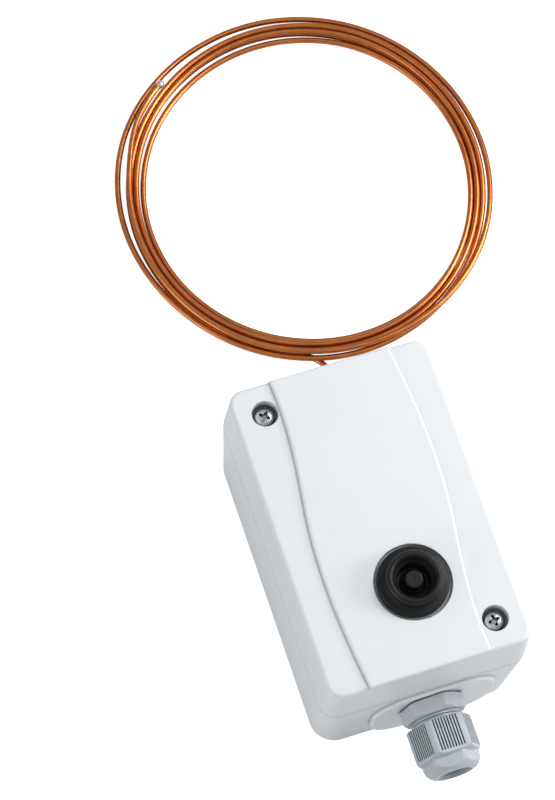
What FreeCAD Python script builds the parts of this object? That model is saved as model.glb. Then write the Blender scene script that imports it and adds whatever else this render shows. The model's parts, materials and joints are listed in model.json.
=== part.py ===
import FreeCAD, Part
import math
import os
from FreeCAD import Vector

# Frost protection controller in a plastic wall housing, lying on its back.
# Millimetres. Z is up, away from the wall; -Y points to the cable gland,
# +Y to the capillary tube; X = 0 and Y = 0 are the middle of the case.

UP = Vector(0, 0, 1)
OUT_OF_GLAND = Vector(0, -1, 0)
ALONG_X = Vector(1, 0, 0)

# Case shell
CASE_WIDTH = 70.0
CASE_LENGTH = 108.0
SPLIT_HEIGHT = 37.5
FACE_HEIGHT = 58.8
PANEL_RISE = 1.2
BACK_DRAFT = 0.8
FACE_DRAFT = 1.1
SPLIT_CORNER = 5.5
BACK_CORNER = 8.5
FACE_CORNER = 5.0
WALL = 2.5
FLOOR = 3.0
FACE_THICKNESS = 2.5
SEAM = 0.35
BACK_EDGE_ROUND = 1.0
FACE_EDGE_ROUND = 1.4
PANEL_EDGE_ROUND = 0.9

# Tongue of the base inside the cover, and the seal in the cover's rim
TONGUE_THICKNESS = 1.2
TONGUE_CLEARANCE = 0.4
TONGUE_HEIGHT = 2.2
TONGUE_ROOT = 3.0
SEAL_INSET = 0.6
SEAL_WIDTH = 1.25
SEAL_HEIGHT = 1.4
SEAL_SIDE_GAP = 0.05
SEAL_SEAM_GAP = 0.1

# Raised panel of the cover: half a side, from its bottom end to its top end.
# The other side is the same curve turned half a turn.
PANEL_SIDE = ((-21.0, -54.5), (-23.4, -31.0), (-23.9, -12.0), (-23.0, 3.0), (-20.6, 21.0), (-19.2, 38.0), (-19.7, 54.5))

# Cover screws in round wells
COVER_SCREW_INSET = 11.0
WELL_RADIUS = 4.3
WELL_DEPTH = 5.2
SLEEVE_WALL = 1.6
SCREW_RADIUS = 2.0
SCREW_HEAD_RADIUS = 3.35
SCREW_HEAD_HEIGHT = 2.7
SCREW_GRIP = 10.0
SCREW_HOLE_GAP = 0.25
POST_RADIUS = 4.5
THREAD_GAP = 0.05
GUSSET = 1.5

# Wall fixing holes in the floor of the base
FIXING_SPACING_X = 56.0
FIXING_SPACING_Y = 68.0
FIXING_HOLE_RADIUS = 2.2
FIXING_BOSS_RADIUS = 4.6
FIXING_BOSS_HEIGHT = 1.6
BACK_RECESS = 0.7
BACK_RIM = 5.0

# Reset push button and its rubber boot
RESET_X = 2.8
RESET_Y = -24.3
BOOT_SEAT_RADIUS = 12.5
SEAT_EDGE_ROUND = 0.3
BOOT_SEAT_DEPTH = 1.2
BOOT_FLANGE_RADIUS = 11.6
BOOT_FLANGE_HEIGHT = 2.8
BOOT_NECK_RADIUS = 7.9
BOOT_WALL = 1.5
BOOT_LIP_RADIUS = 1.2
BOOT_LIP_RISE = 4.6
BOOT_HOLE_GAP = 0.1
BOOT_TAIL = 1.6
BUTTON_RADIUS = 3.1
BUTTON_BELOW_LIP = 2.5
BUTTON_SKIRT_RADIUS = 4.3
BUTTON_SKIRT = 1.2
BUTTON_HEAD = 6.0
RESET_TRAVEL = 2.5
ROD_RADIUS = 2.0
RUNNING_GAP = 0.05
GUIDE_RADIUS = 10.6
GUIDE_PLATE = 1.6
GUIDE_CUP_RADIUS = 5.4
GUIDE_CUP_WALL = 0.8
GUIDE_CUP_DEPTH = 5.6
GUIDE_TUBE = 5.0
GUIDE_TUBE_RADIUS = 3.4
RESET_SPRING_WIRE = 0.5
RESET_SPRING_TURNS = 5.0
CLIP_THICKNESS = 0.7
CLIP_RADIUS = 3.4
CLIP_GROOVE = 0.35
ROD_TO_PIN = 0.4

# Cable gland
GLAND_X = 1.5
GLAND_BELOW_SPLIT = 12.0
GLAND_PAD_FACE = 1.4
GLAND_PAD_X = 3.2
GLAND_PAD_WIDTH = 42.0
GLAND_PAD_BOTTOM = 2.4
GLAND_PAD_TOP_GAP = 1.2
GLAND_PAD_CORNER = 13.0
GLAND_PAD_ROUND = 0.9
GLAND_THREAD_RADIUS = 8.0
GLAND_BORE_RADIUS = 5.7
GLAND_HEX = 19.4
GLAND_HEX_TURN = 10.0
GLAND_HEX_THICKNESS = 5.0
FLAT_SEAL = 0.5
FLAT_SEAL_RADIUS = 9.4
GLAND_NECK = 2.2
GLAND_COLLAR_RADIUS = 8.7
GLAND_COLLAR = 0.6
GLAND_NECK_RADIUS = 8.3
LOCKNUT_HEX = 20.0
LOCKNUT_THICKNESS = 4.5
LOCKNUT_SPARE = 1.0
LOCKNUT_SEAT = 12.0
LOCKNUT_SEAT_DEPTH = 4.6
DOME_HEX = 19.6
DOME_HEX_TURN = -4.0
DOME_SKIRT = 11.0
DOME_LENGTH = 17.2
DOME_STEP = 1.3
NOSE_HEX = 17.0
NOSE_HEX_TURN = 10.0
NOSE_RADIUS = 9.6
NOSE_ROUND = 4.0
DOME_OPENING = 5.6
DOME_RIBS = 9
DOME_RIB_PITCH = 0.96
DOME_RIB_DEPTH = 0.6
DOME_THREAD_GAP = 0.08
DOME_THREAD_LENGTH = 8.6
CAGE_WALL = 0.9
CAGE_FINGERS = 12
CAGE_SLIT = 0.5
CAGE_GAP = 0.05
BUSH_RADIUS = 4.25
BUSH_LENGTH = 9.0

# Mechanism on its sheet metal chassis
CHASSIS_X = RESET_X
SHEET = 1.2
STANDOFF_HEIGHT = 2.0
STANDOFF_RADIUS = 3.6
CHASSIS_HALF_WIDTH = 18.5
CHASSIS_FRONT = -36.0
CHASSIS_REAR = 37.0
CHEEK_START = -5.0
CHEEK_STEP = 11.5
CHEEK_END = 28.0
CHEEK_HEIGHT = 23.5
CHEEK_LOW = 15.5
CHASSIS_SCREW_X = 14.5
CHASSIS_SCREW_Y = (-10.0, 34.0)
M3_RADIUS = 1.5
M3_HEAD_RADIUS = 2.8
M3_HEAD_HEIGHT = 1.9
M3_HOLE_GAP = 0.15
SLOT_WIDTH = 0.8
SLOT_DEPTH = 0.9

# Lever and its pivot
PIVOT_Y = 3.0
PIVOT_RISE = 17.5
PIVOT_RADIUS = 1.5
LEVER_HALF_WIDTH = 15.2
LEVER_PLATE_RISE = 3.0
LEVER_FRONT = -18.0
LEVER_REAR = 27.0
LEVER_EAR = 7.0
LEVER_RIM = 3.0
PIVOT_END = 1.4
PIVOT_CLIP_RADIUS = 3.0
PIVOT_CLIP = 0.6

# Pressure capsule fed by the capillary tube
CAPSULE_Y = 20.0
CAPSULE_RADIUS = 14.4
CAPSULE_CUP = 3.4
CAPSULE_SHELL = 0.9
CAPSULE_LID = 2.0
CAPSULE_OPENING = 6.5
DIAPHRAGM = 0.4
DIAPHRAGM_WAVES = 3
STUD_FOOT_RADIUS = 5.0
STUD_FOOT = 1.5
STUD_RADIUS = 2.5
STUD_GAP = 0.3

# Range spring with its adjusting nut, spindle and knob
BRIDGE_START = 12.0
BRIDGE_END = 28.0
BRIDGE_TOP = 45.0
BRIDGE_LEG_FOOT = 3.0
BRIDGE_SCREW_RISE = 9.5
SPRING_WIRE = 1.0
SPRING_RADIUS = 5.2
SPRING_TURNS = 4.5
SPRING_NUT_TOP = 40.4
SPRING_NUT_THICKNESS = 3.0
SPRING_NUT_LENGTH = 13.0
SPRING_NUT_SIDE_GAP = 0.3
SPINDLE_RADIUS = 3.0
SPINDLE_FOOT = 34.0
SPINDLE_COLLAR_RADIUS = 5.0
SPINDLE_COLLAR = 1.2
KNOB_RADIUS = 11.5
KNOB_BASE_GAP = 0.6
KNOB_HEIGHT = 7.0
KNOB_FLUTES = 24
KNOB_FLUTE_RADIUS = 0.8

# Springs
SPRING_STEPS = 16
SPRING_SIDES = 6
SPRING_END_PITCH = 1.1

# Snap switch with its terminals
SWITCH_HALF_WIDTH = 12.0
SWITCH_FRONT = -37.0
SWITCH_STEP = -29.5
SWITCH_REAR = -10.5
SWITCH_HEIGHT = 15.5
PLUNGER_Y = -14.5
PLUNGER_RADIUS = 1.5
PLUNGER_GAP = 0.4
PLUNGER_DEPTH = 6.0
TERMINALS = 3
TERMINAL_PITCH = 7.6
TERMINAL_BAY_WIDTH = 6.2
TERMINAL_SEAT = 6.0
CLAMP_THICKNESS = 1.2
CLAMP_LENGTH = 6.6
CLAMP_GAP = 0.3
TERMINAL_SCREW_RADIUS = 1.4
TERMINAL_HEAD_RADIUS = 2.4
TERMINAL_HEAD_HEIGHT = 2.2
TERMINAL_SCREW_DEPTH = 4.5
TOWER_RADIUS = 3.3
TOWER_HEIGHT = 9.0
RESET_PIN_RADIUS = 1.5
RESET_PIN_DEPTH = 11.0
SWITCH_SCREW_X = 9.0
EARTH_X = 15.5
EARTH_Y = -25.0

# Capillary tube, its grommet in the case wall and its coil on the table
TUBE_RADIUS = 1.0
TUBE_OFFSET_X = 8.7
TUBE_Z_IN_CUP = 2.1
TUBE_GAP = 0.03
EXIT_HEIGHT = 6.3
INNER_BENDS_TO_END = (13.4, 8.0)
INLET_RADIUS = 2.0
INLET_LENGTH = 6.0
GROMMET_NECK = 2.5
GROMMET_FLANGE = 3.8
GROMMET_FLANGE_THICKNESS = 1.6
GROMMET_NOSE = 2.2
GROMMET_NOSE_LENGTH = 1.6
WALL_HOLE_GAP = 0.05
LEAD_FIRST_RUN = 5.6
LEAD_POINTS = ((11.2, 68.6, 3.2), (9.4, 73.9, 1.15), (5.2, 77.6, 1.0), (0.4, 80.1, 1.0))
ARC_SHARE = 0.45
COIL_X = 24.0
COIL_Y = 135.4
COIL_OUTER = 65.7
COIL_INNER = 53.3
COIL_HEIGHT = 5.2
COIL_EDGE_ROUND = 1.6
TIP_RADIUS = 1.3
TIP_LENGTH = 8.0
TIP_PATH_RADIUS = 61.9
TIP_ANGLE = 125.0
TIP_Z = 3.3
TIP_GAP = 0.05

# Levels that several pieces share
BASE_TOP = SPLIT_HEIGHT - SEAM / 2
COVER_FOOT = SPLIT_HEIGHT + SEAM / 2
PANEL_HEIGHT = FACE_HEIGHT + PANEL_RISE
COVER_CEILING = FACE_HEIGHT - FACE_THICKNESS
WELL_FLOOR = FACE_HEIGHT - WELL_DEPTH
COVER_SCREW_X = CASE_WIDTH / 2 - COVER_SCREW_INSET
COVER_SCREW_Y = CASE_LENGTH / 2 - COVER_SCREW_INSET
BOOT_SEAT = PANEL_HEIGHT - BOOT_SEAT_DEPTH
GLAND_Z = SPLIT_HEIGHT - GLAND_BELOW_SPLIT
SLEEVE_RADIUS = WELL_RADIUS + SLEEVE_WALL
PLATE_BOTTOM = FLOOR + STANDOFF_HEIGHT
PLATE_TOP = PLATE_BOTTOM + SHEET
PIVOT_Z = PLATE_TOP + PIVOT_RISE
LEVER_BOTTOM = PIVOT_Z + LEVER_PLATE_RISE
LEVER_TOP = LEVER_BOTTOM + SHEET
DIAPHRAGM_Z = PLATE_TOP + CAPSULE_CUP
TUBE_X = CHASSIS_X + TUBE_OFFSET_X
TUBE_Z = PLATE_TOP + TUBE_Z_IN_CUP
SWITCH_TOP = PLATE_TOP + SWITCH_HEIGHT
SPRING_NUT_BOTTOM = SPRING_NUT_TOP - SPRING_NUT_THICKNESS
LIP_HEIGHT = PANEL_HEIGHT + BOOT_LIP_RISE
LIP_CENTRE_RADIUS = BOOT_NECK_RADIUS - BOOT_WALL / 2 + 0.4
BUTTON_TOP = LIP_HEIGHT + BOOT_LIP_RADIUS - BUTTON_BELOW_LIP
SKIRT_TOP = BUTTON_TOP - BUTTON_HEAD
SKIRT_BOTTOM = SKIRT_TOP - BUTTON_SKIRT
GUIDE_TOP = COVER_CEILING - BOOT_TAIL
GUIDE_BOTTOM = GUIDE_TOP - GUIDE_PLATE
CUP_FLOOR_TOP = GUIDE_TOP - GUIDE_CUP_DEPTH
CUP_FLOOR = CUP_FLOOR_TOP - GUIDE_CUP_WALL
GUIDE_FOOT = CUP_FLOOR - GUIDE_TUBE
CLIP_TOP = GUIDE_FOOT - RUNNING_GAP
ROD_FOOT = CLIP_TOP - CLIP_THICKNESS - 1.2
RESET_PIN_TOP = ROD_FOOT - ROD_TO_PIN
PAD_Y = -(CASE_LENGTH / 2 + GLAND_PAD_FACE)
LOCKNUT_Y = -(CASE_LENGTH / 2 - LOCKNUT_SEAT_DEPTH)
HEX_Y = PAD_Y - FLAT_SEAL
NECK_Y = HEX_Y - GLAND_HEX_THICKNESS
NUT_Y = NECK_Y - GLAND_NECK
NUT_END = NUT_Y - DOME_LENGTH
THREAD_END = NUT_Y - DOME_THREAD_LENGTH


def save(name, shape):
    if len(shape.Solids) == 1:
        shape = shape.Solids[0]
    shape.exportStep("parts/" + name + ".step")


def box(x0, x1, y0, y1, z0, z1):
    return Part.makeBox(x1 - x0, y1 - y0, z1 - z0, Vector(x0, y0, z0))


def rod(radius, start, end):
    return Part.makeCylinder(radius, (end - start).Length, start, end - start)


def post(radius, x, y, z0, z1):
    return rod(radius, Vector(x, y, z0), Vector(x, y, z1))


def washer(outer, inner, x, y, z0, z1):
    return post(outer, x, y, z0, z1).cut(post(inner, x, y, z0, z1))


def sleeve_y(outer, inner, x, z, y0, y1):
    return rod(outer, Vector(x, y0, z), Vector(x, y1, z)).cut(rod(inner, Vector(x, y0, z), Vector(x, y1, z)))


def turned(points, x, y):
    """A solid of revolution about a vertical axis, from (radius, height) points."""
    corners = [Vector(x + r, y, z) for r, z in points]
    face = Part.Face(Part.makePolygon(corners + corners[:1]))
    return face.revolve(Vector(x, y, 0), UP, 360)


def turned_about_gland(points):
    """A solid of revolution about the gland's axis, from (radius, y) points."""
    corners = [Vector(GLAND_X + r, y, GLAND_Z) for r, y in points]
    face = Part.Face(Part.makePolygon(corners + corners[:1]))
    return face.revolve(Vector(GLAND_X, 0, GLAND_Z), Vector(0, 1, 0), 360)


def hex_prism(flats, turn, y0, y1):
    """A hexagonal prism on the gland's axis."""
    radius = flats / math.sqrt(3)
    corners = []
    for side in range(7):
        angle = math.radians(turn + 60 * side)
        corners.append(Vector(GLAND_X + radius * math.cos(angle), y0, GLAND_Z + radius * math.sin(angle)))
    return Part.Face(Part.makePolygon(corners)).extrude(Vector(0, y1 - y0, 0))


def rounded_rectangle(width, length, radius, z):
    arcs = []
    for side_x, side_y, start in ((1, 1, 0), (-1, 1, 90), (-1, -1, 180), (1, -1, 270)):
        centre = Vector(side_x * (width / 2 - radius), side_y * (length / 2 - radius), z)
        arcs.append(Part.makeCircle(radius, centre, UP, start, start + 90))
    edges = []
    for arc, following in zip(arcs, arcs[1:] + arcs[:1]):
        edges.append(arc)
        edges.append(Part.makeLine(arc.Vertexes[-1].Point, following.Vertexes[0].Point))
    return Part.Wire(edges)


def case_outline(z, inset=0.0):
    """The case's section at a height, drawn in by an inset."""
    if z <= SPLIT_HEIGHT:
        share = (SPLIT_HEIGHT - z) / SPLIT_HEIGHT
        draft = BACK_DRAFT * share
        corner = SPLIT_CORNER + (BACK_CORNER - SPLIT_CORNER) * share
    else:
        share = (z - SPLIT_HEIGHT) / (PANEL_HEIGHT - SPLIT_HEIGHT)
        draft = FACE_DRAFT * share
        corner = SPLIT_CORNER + (FACE_CORNER - SPLIT_CORNER) * share
    narrower = 2 * (draft + inset)
    return rounded_rectangle(CASE_WIDTH - narrower, CASE_LENGTH - narrower, corner - inset, z)


def case_block(z0, z1, inset=0.0):
    return Part.makeLoft([case_outline(z0, inset), case_outline(z1, inset)], True, True)


def case_ring(z0, z1, outer_inset, inner_inset):
    return case_block(z0, z1, outer_inset).cut(case_block(z0, z1, inner_inset))


def straight_ring(z0, z1, outer_inset, inner_inset):
    """A ring with upright walls that follows the split line."""
    walls = []
    for inset in (outer_inset, inner_inset):
        outline = rounded_rectangle(
            CASE_WIDTH - 2 * inset, CASE_LENGTH - 2 * inset, SPLIT_CORNER - inset, z0)
        walls.append(Part.Face(outline).extrude(Vector(0, 0, z1 - z0)))
    return walls[0].cut(walls[1])


def edges_at_height(shape, z):
    level = []
    for edge in shape.Edges:
        if abs(edge.BoundBox.ZMin - z) < 0.001 and abs(edge.BoundBox.ZMax - z) < 0.001:
            level.append(edge)
    return level


def cover_screw_places():
    return ((-COVER_SCREW_X, COVER_SCREW_Y), (COVER_SCREW_X, -COVER_SCREW_Y))


def fixing_places():
    places = []
    for side_x in (-1, 1):
        for side_y in (-1, 1):
            places.append((side_x * FIXING_SPACING_X / 2, side_y * FIXING_SPACING_Y / 2))
    return places


def chassis_screw_places():
    places = []
    for side in (-1, 1):
        for y in CHASSIS_SCREW_Y:
            places.append((CHASSIS_X + side * CHASSIS_SCREW_X, y))
    return places


def gusset(x, y, z0, z1):
    """Ribs from a screw post to the two nearest case walls."""
    wall_x = math.copysign(CASE_WIDTH / 2 - WALL / 2 - FACE_DRAFT, x)
    wall_y = math.copysign(CASE_LENGTH / 2 - WALL / 2 - FACE_DRAFT, y)
    half = GUSSET / 2
    to_side = box(min(x, wall_x), max(x, wall_x), y - half, y + half, z0, z1)
    to_end = box(x - half, x + half, min(y, wall_y), max(y, wall_y), z0, z1)
    return to_side.fuse(to_end)


def gland_pad():
    """The raised flat on the base's lower end wall that the gland sits on."""
    width = GLAND_PAD_WIDTH
    height = BASE_TOP - GLAND_PAD_TOP_GAP - GLAND_PAD_BOTTOM
    outline = rounded_rectangle(width, height, GLAND_PAD_CORNER, 0)
    depth = -(CASE_LENGTH / 2 - WALL) - PAD_Y
    pad = Part.Face(outline).extrude(Vector(0, 0, depth))
    pad = pad.makeFillet(GLAND_PAD_ROUND, edges_at_height(pad, depth))
    pad.rotate(Vector(0, 0, 0), ALONG_X, 90)
    pad.translate(Vector(GLAND_PAD_X, PAD_Y + depth, GLAND_PAD_BOTTOM + height / 2))
    return pad


def base():
    shell = case_block(0, BASE_TOP)
    shell = shell.makeFillet(BACK_EDGE_ROUND, edges_at_height(shell, 0))
    shell = shell.fuse(gland_pad())
    shell = shell.cut(case_block(FLOOR, BASE_TOP, WALL))
    tongue_inset = WALL + TONGUE_CLEARANCE
    tongue_inner = tongue_inset + TONGUE_THICKNESS
    shell = shell.fuse(straight_ring(BASE_TOP - TONGUE_ROOT, BASE_TOP, WALL / 2, tongue_inner))
    shell = shell.fuse(straight_ring(BASE_TOP - TONGUE_ROOT, BASE_TOP + TONGUE_HEIGHT, tongue_inset, tongue_inner))
    seat_start = Vector(GLAND_X, LOCKNUT_Y, GLAND_Z)
    seat = rod(LOCKNUT_SEAT, seat_start, Vector(GLAND_X, -(CASE_LENGTH - WALL) / 2, GLAND_Z))
    shell = shell.fuse(seat.common(box(-CASE_WIDTH, CASE_WIDTH, -CASE_LENGTH, 0, FLOOR, BASE_TOP)))
    for x, y in cover_screw_places():
        shell = shell.fuse(post(POST_RADIUS, x, y, FLOOR / 2, BASE_TOP - SEAM))
        shell = shell.fuse(gusset(x, y, FLOOR / 2, BASE_TOP - TONGUE_ROOT))
    for x, y in fixing_places():
        shell = shell.fuse(post(FIXING_BOSS_RADIUS, x, y, FLOOR / 2, FLOOR + FIXING_BOSS_HEIGHT))
    for x, y in chassis_screw_places():
        shell = shell.fuse(post(STANDOFF_RADIUS, x, y, FLOOR / 2, PLATE_BOTTOM))
    for x, y in cover_screw_places():
        pilot_floor = WELL_FLOOR - cover_screw_length() - 1
        shell = shell.cut(post(SCREW_RADIUS + THREAD_GAP, x, y, pilot_floor, BASE_TOP))
    for x, y in fixing_places():
        shell = shell.cut(post(FIXING_HOLE_RADIUS, x, y, -1, PLATE_BOTTOM + FLOOR))
    for x, y in chassis_screw_places():
        shell = shell.cut(post(M3_RADIUS + THREAD_GAP, x, y, BACK_RECESS + 1, PLATE_BOTTOM))
    shell = shell.cut(back_recess())
    gland_start = Vector(GLAND_X, LOCKNUT_Y + 1, GLAND_Z)
    shell = shell.cut(rod(GLAND_THREAD_RADIUS + RUNNING_GAP, gland_start, Vector(GLAND_X, PAD_Y - 1, GLAND_Z)))
    wall_start = Vector(TUBE_X, CASE_LENGTH / 2 - WALL - BACK_DRAFT - 1, EXIT_HEIGHT)
    shell = shell.cut(rod(GROMMET_NECK + WALL_HOLE_GAP, wall_start, Vector(TUBE_X, CASE_LENGTH / 2 + 1, EXIT_HEIGHT)))
    return shell.removeSplitter()


def back_recess():
    """The shallow hollow in the back face, with a pad left round each fixing hole."""
    outline = rounded_rectangle(
        CASE_WIDTH - 2 * BACK_RIM, CASE_LENGTH - 2 * BACK_RIM, BACK_CORNER - BACK_RIM / 2, 0)
    recess = Part.Face(outline).extrude(Vector(0, 0, BACK_RECESS))
    for x, y in fixing_places():
        recess = recess.cut(post(FIXING_BOSS_RADIUS + 1, x, y, 0, BACK_RECESS))
    return recess


def panel_prism(z0, z1):
    """The raised panel's outline, pulled up as a prism."""
    left = [Vector(x, y, z0) for x, y in PANEL_SIDE]
    right = [Vector(-x, -y, z0) for x, y in PANEL_SIDE]
    sides = []
    for points in (left, right):
        curve = Part.BSplineCurve()
        curve.interpolate(points)
        sides.append(curve.toShape())
    top = Part.makeLine(left[-1], right[0])
    bottom = Part.makeLine(right[-1], left[0])
    return Part.Face(Part.Wire([sides[0], top, sides[1], bottom])).extrude(Vector(0, 0, z1 - z0))


def seat_rim(shape):
    """The upper edge of the round seat that the boot lies in."""
    rim = []
    for edge in edges_at_height(shape, PANEL_HEIGHT):
        bounds = edge.BoundBox
        if abs(bounds.XLength - 2 * BOOT_SEAT_RADIUS) < 0.01 and abs(bounds.YLength - 2 * BOOT_SEAT_RADIUS) < 0.01:
            rim.append(edge)
    return rim


def cover():
    shell = case_block(COVER_FOOT, FACE_HEIGHT)
    shell = shell.makeFillet(FACE_EDGE_ROUND, edges_at_height(shell, FACE_HEIGHT))
    panel_foot = COVER_CEILING
    panel = case_block(panel_foot, PANEL_HEIGHT).common(panel_prism(panel_foot, PANEL_HEIGHT))
    panel = panel.makeFillet(PANEL_EDGE_ROUND, edges_at_height(panel, PANEL_HEIGHT))
    shell = shell.fuse(panel)
    shell = shell.cut(post(BOOT_SEAT_RADIUS, RESET_X, RESET_Y, BOOT_SEAT, PANEL_HEIGHT + 1))
    shell = shell.makeFillet(SEAT_EDGE_ROUND, seat_rim(shell))
    shell = shell.cut(case_block(COVER_FOOT, COVER_CEILING, WALL))
    shell = shell.cut(straight_ring(
        COVER_FOOT, COVER_FOOT + SEAL_HEIGHT, SEAL_INSET, SEAL_INSET + SEAL_WIDTH + 2 * SEAL_SIDE_GAP))
    sleeve_foot = COVER_FOOT + SEAM
    for x, y in cover_screw_places():
        shell = shell.fuse(post(SLEEVE_RADIUS, x, y, sleeve_foot, COVER_CEILING + 1))
        shell = shell.fuse(gusset(x, y, COVER_FOOT + TONGUE_HEIGHT + SEAM, COVER_CEILING + 1))
    for x, y in cover_screw_places():
        shell = shell.cut(post(WELL_RADIUS, x, y, WELL_FLOOR, PANEL_HEIGHT + 1))
        shell = shell.cut(post(SCREW_RADIUS + SCREW_HOLE_GAP, x, y, COVER_FOOT, WELL_FLOOR + 1))
    shell = shell.cut(post(BOOT_NECK_RADIUS + BOOT_HOLE_GAP, RESET_X, RESET_Y, COVER_CEILING - 1, PANEL_HEIGHT + 1))
    return shell.removeSplitter()


def cover_gasket():
    inset = SEAL_INSET + SEAL_SIDE_GAP
    foot = BASE_TOP + SEAL_SEAM_GAP
    return straight_ring(foot, COVER_FOOT + SEAL_HEIGHT - SEAL_SIDE_GAP, inset, inset + SEAL_WIDTH)


def cover_screw_length():
    """From the well's floor to the tip, deep enough to hold in the base's post."""
    return WELL_FLOOR - BASE_TOP + SCREW_GRIP


def cross_recess(radius, x, y, z, turn):
    """Four tapering slots that meet in a point, as a cross-head screw has."""
    cut = Part.makeCone(radius * 0.12, radius * 0.3, radius * 0.62, Vector(x, y, z - radius * 0.6), UP)
    arm = radius * 0.56
    half = radius * 0.13
    for quarter in range(2):
        slot = box(x - arm, x + arm, y - half, y + half, z - radius * 0.42, z + 1)
        slot.rotate(Vector(x, y, z), UP, turn + 90 * quarter)
        cut = cut.fuse(slot)
    return cut


def cover_screw(x, y, turn):
    head_top = WELL_FLOOR + SCREW_HEAD_HEIGHT
    head = turned((
        (0, WELL_FLOOR), (SCREW_HEAD_RADIUS, WELL_FLOOR), (SCREW_HEAD_RADIUS, head_top - 1.5),
        (SCREW_HEAD_RADIUS * 0.93, head_top - 0.8), (SCREW_HEAD_RADIUS * 0.75, head_top - 0.3),
        (SCREW_HEAD_RADIUS * 0.5, head_top), (0, head_top)), x, y)
    tip = WELL_FLOOR - cover_screw_length()
    shank = post(SCREW_RADIUS, x, y, tip + SCREW_RADIUS, WELL_FLOOR)
    point = Part.makeCone(SCREW_RADIUS * 0.4, SCREW_RADIUS, SCREW_RADIUS, Vector(x, y, tip), UP)
    screw = head.fuse([shank, point])
    return screw.cut(cross_recess(SCREW_HEAD_RADIUS, x, y, head_top, turn)).removeSplitter()


def reset_boot():
    """The fixed rubber part: flange, neck through the cover and rolled lip."""
    inner = BOOT_NECK_RADIUS - BOOT_WALL
    flange_top = BOOT_SEAT + BOOT_FLANGE_HEIGHT
    body = turned((
        (inner, GUIDE_TOP), (BOOT_NECK_RADIUS, GUIDE_TOP), (BOOT_NECK_RADIUS, BOOT_SEAT),
        (BOOT_FLANGE_RADIUS, BOOT_SEAT), (BOOT_FLANGE_RADIUS, flange_top - 1.0),
        (BOOT_FLANGE_RADIUS - 0.25, flange_top - 0.6), (BOOT_FLANGE_RADIUS - 0.8, flange_top - 0.35),
        (BOOT_NECK_RADIUS + 0.5, flange_top), (BOOT_NECK_RADIUS, flange_top + 0.4),
        (BOOT_NECK_RADIUS, LIP_HEIGHT), (inner, LIP_HEIGHT)), RESET_X, RESET_Y)
    lip = Part.makeTorus(LIP_CENTRE_RADIUS, BOOT_LIP_RADIUS, Vector(RESET_X, RESET_Y, LIP_HEIGHT), UP)
    return body.fuse(lip).removeSplitter()


def boot_membrane():
    """The rolled rubber wall between the boot's neck and the button."""
    outer = BOOT_NECK_RADIUS - BOOT_WALL
    inner = BUTTON_RADIUS
    top = PANEL_HEIGHT + 2.4
    low = SKIRT_TOP + 0.3
    mid = (outer + inner) / 2
    return turned((
        (outer, top), (outer, top - 1.0), (outer - 0.4, low + 1.0), (mid + 0.6, low),
        (mid - 0.6, low), (inner, low + 0.8), (inner, low + 2.2), (inner + 0.3, low + 2.2),
        (inner + 0.6, low + 1.2), (mid - 0.3, low + 0.7), (mid + 0.3, low + 0.7),
        (outer - 1.1, low + 1.5), (outer - 0.8, top)), RESET_X, RESET_Y)


def reset_button():
    """The rubber-capped head that the finger presses, with its hollow skirt."""
    head = turned((
        (0, SKIRT_BOTTOM), (BUTTON_SKIRT_RADIUS, SKIRT_BOTTOM), (BUTTON_SKIRT_RADIUS, SKIRT_TOP),
        (BUTTON_RADIUS, SKIRT_TOP), (BUTTON_RADIUS, BUTTON_TOP - 0.6),
        (BUTTON_RADIUS - 0.2, BUTTON_TOP - 0.2), (BUTTON_RADIUS - 0.6, BUTTON_TOP),
        (0.5, BUTTON_TOP), (0, BUTTON_TOP - 0.3)), RESET_X, RESET_Y)
    return head.cut(post(ROD_RADIUS, RESET_X, RESET_Y, SKIRT_BOTTOM, SKIRT_TOP + 2))


def reset_rod():
    shaft = post(ROD_RADIUS, RESET_X, RESET_Y, ROD_FOOT, SKIRT_TOP + 2)
    groove = washer(ROD_RADIUS + 1, ROD_RADIUS - CLIP_GROOVE, RESET_X, RESET_Y, CLIP_TOP - CLIP_THICKNESS, CLIP_TOP)
    return shaft.cut(groove)


def reset_clip():
    """The open spring clip that keeps the rod in its guide."""
    foot = CLIP_TOP - CLIP_THICKNESS
    ring = washer(CLIP_RADIUS, ROD_RADIUS - CLIP_GROOVE, RESET_X, RESET_Y, foot, CLIP_TOP)
    gap = ROD_RADIUS - CLIP_GROOVE
    return ring.cut(box(RESET_X - gap, RESET_X + gap, RESET_Y, RESET_Y + CLIP_RADIUS, foot, CLIP_TOP))


def reset_guide():
    """The clipped-in guide with a spring cup and a bored tube."""
    inner = GUIDE_CUP_RADIUS - GUIDE_CUP_WALL
    bore = ROD_RADIUS + RUNNING_GAP
    return turned((
        (bore, GUIDE_FOOT), (GUIDE_TUBE_RADIUS, GUIDE_FOOT), (GUIDE_TUBE_RADIUS, CUP_FLOOR),
        (GUIDE_CUP_RADIUS, CUP_FLOOR), (GUIDE_CUP_RADIUS, GUIDE_BOTTOM), (GUIDE_RADIUS, GUIDE_BOTTOM),
        (GUIDE_RADIUS, COVER_CEILING), (BOOT_NECK_RADIUS + BOOT_HOLE_GAP, COVER_CEILING),
        (BOOT_NECK_RADIUS + BOOT_HOLE_GAP, GUIDE_TOP), (inner, GUIDE_TOP), (inner, CUP_FLOOR_TOP),
        (bore, CUP_FLOOR_TOP)), RESET_X, RESET_Y)


def spring_rise(turn, turns, wire, height):
    """Height of the wire's middle after some turns: close end turns, open ones between."""
    close = wire * SPRING_END_PITCH
    open_pitch = (height - wire - 2 * close) / (turns - 2)
    if turn <= 1:
        return close * turn
    if turn <= turns - 1:
        return close + open_pitch * (turn - 1)
    return height - wire - close * (turns - turn)


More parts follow.
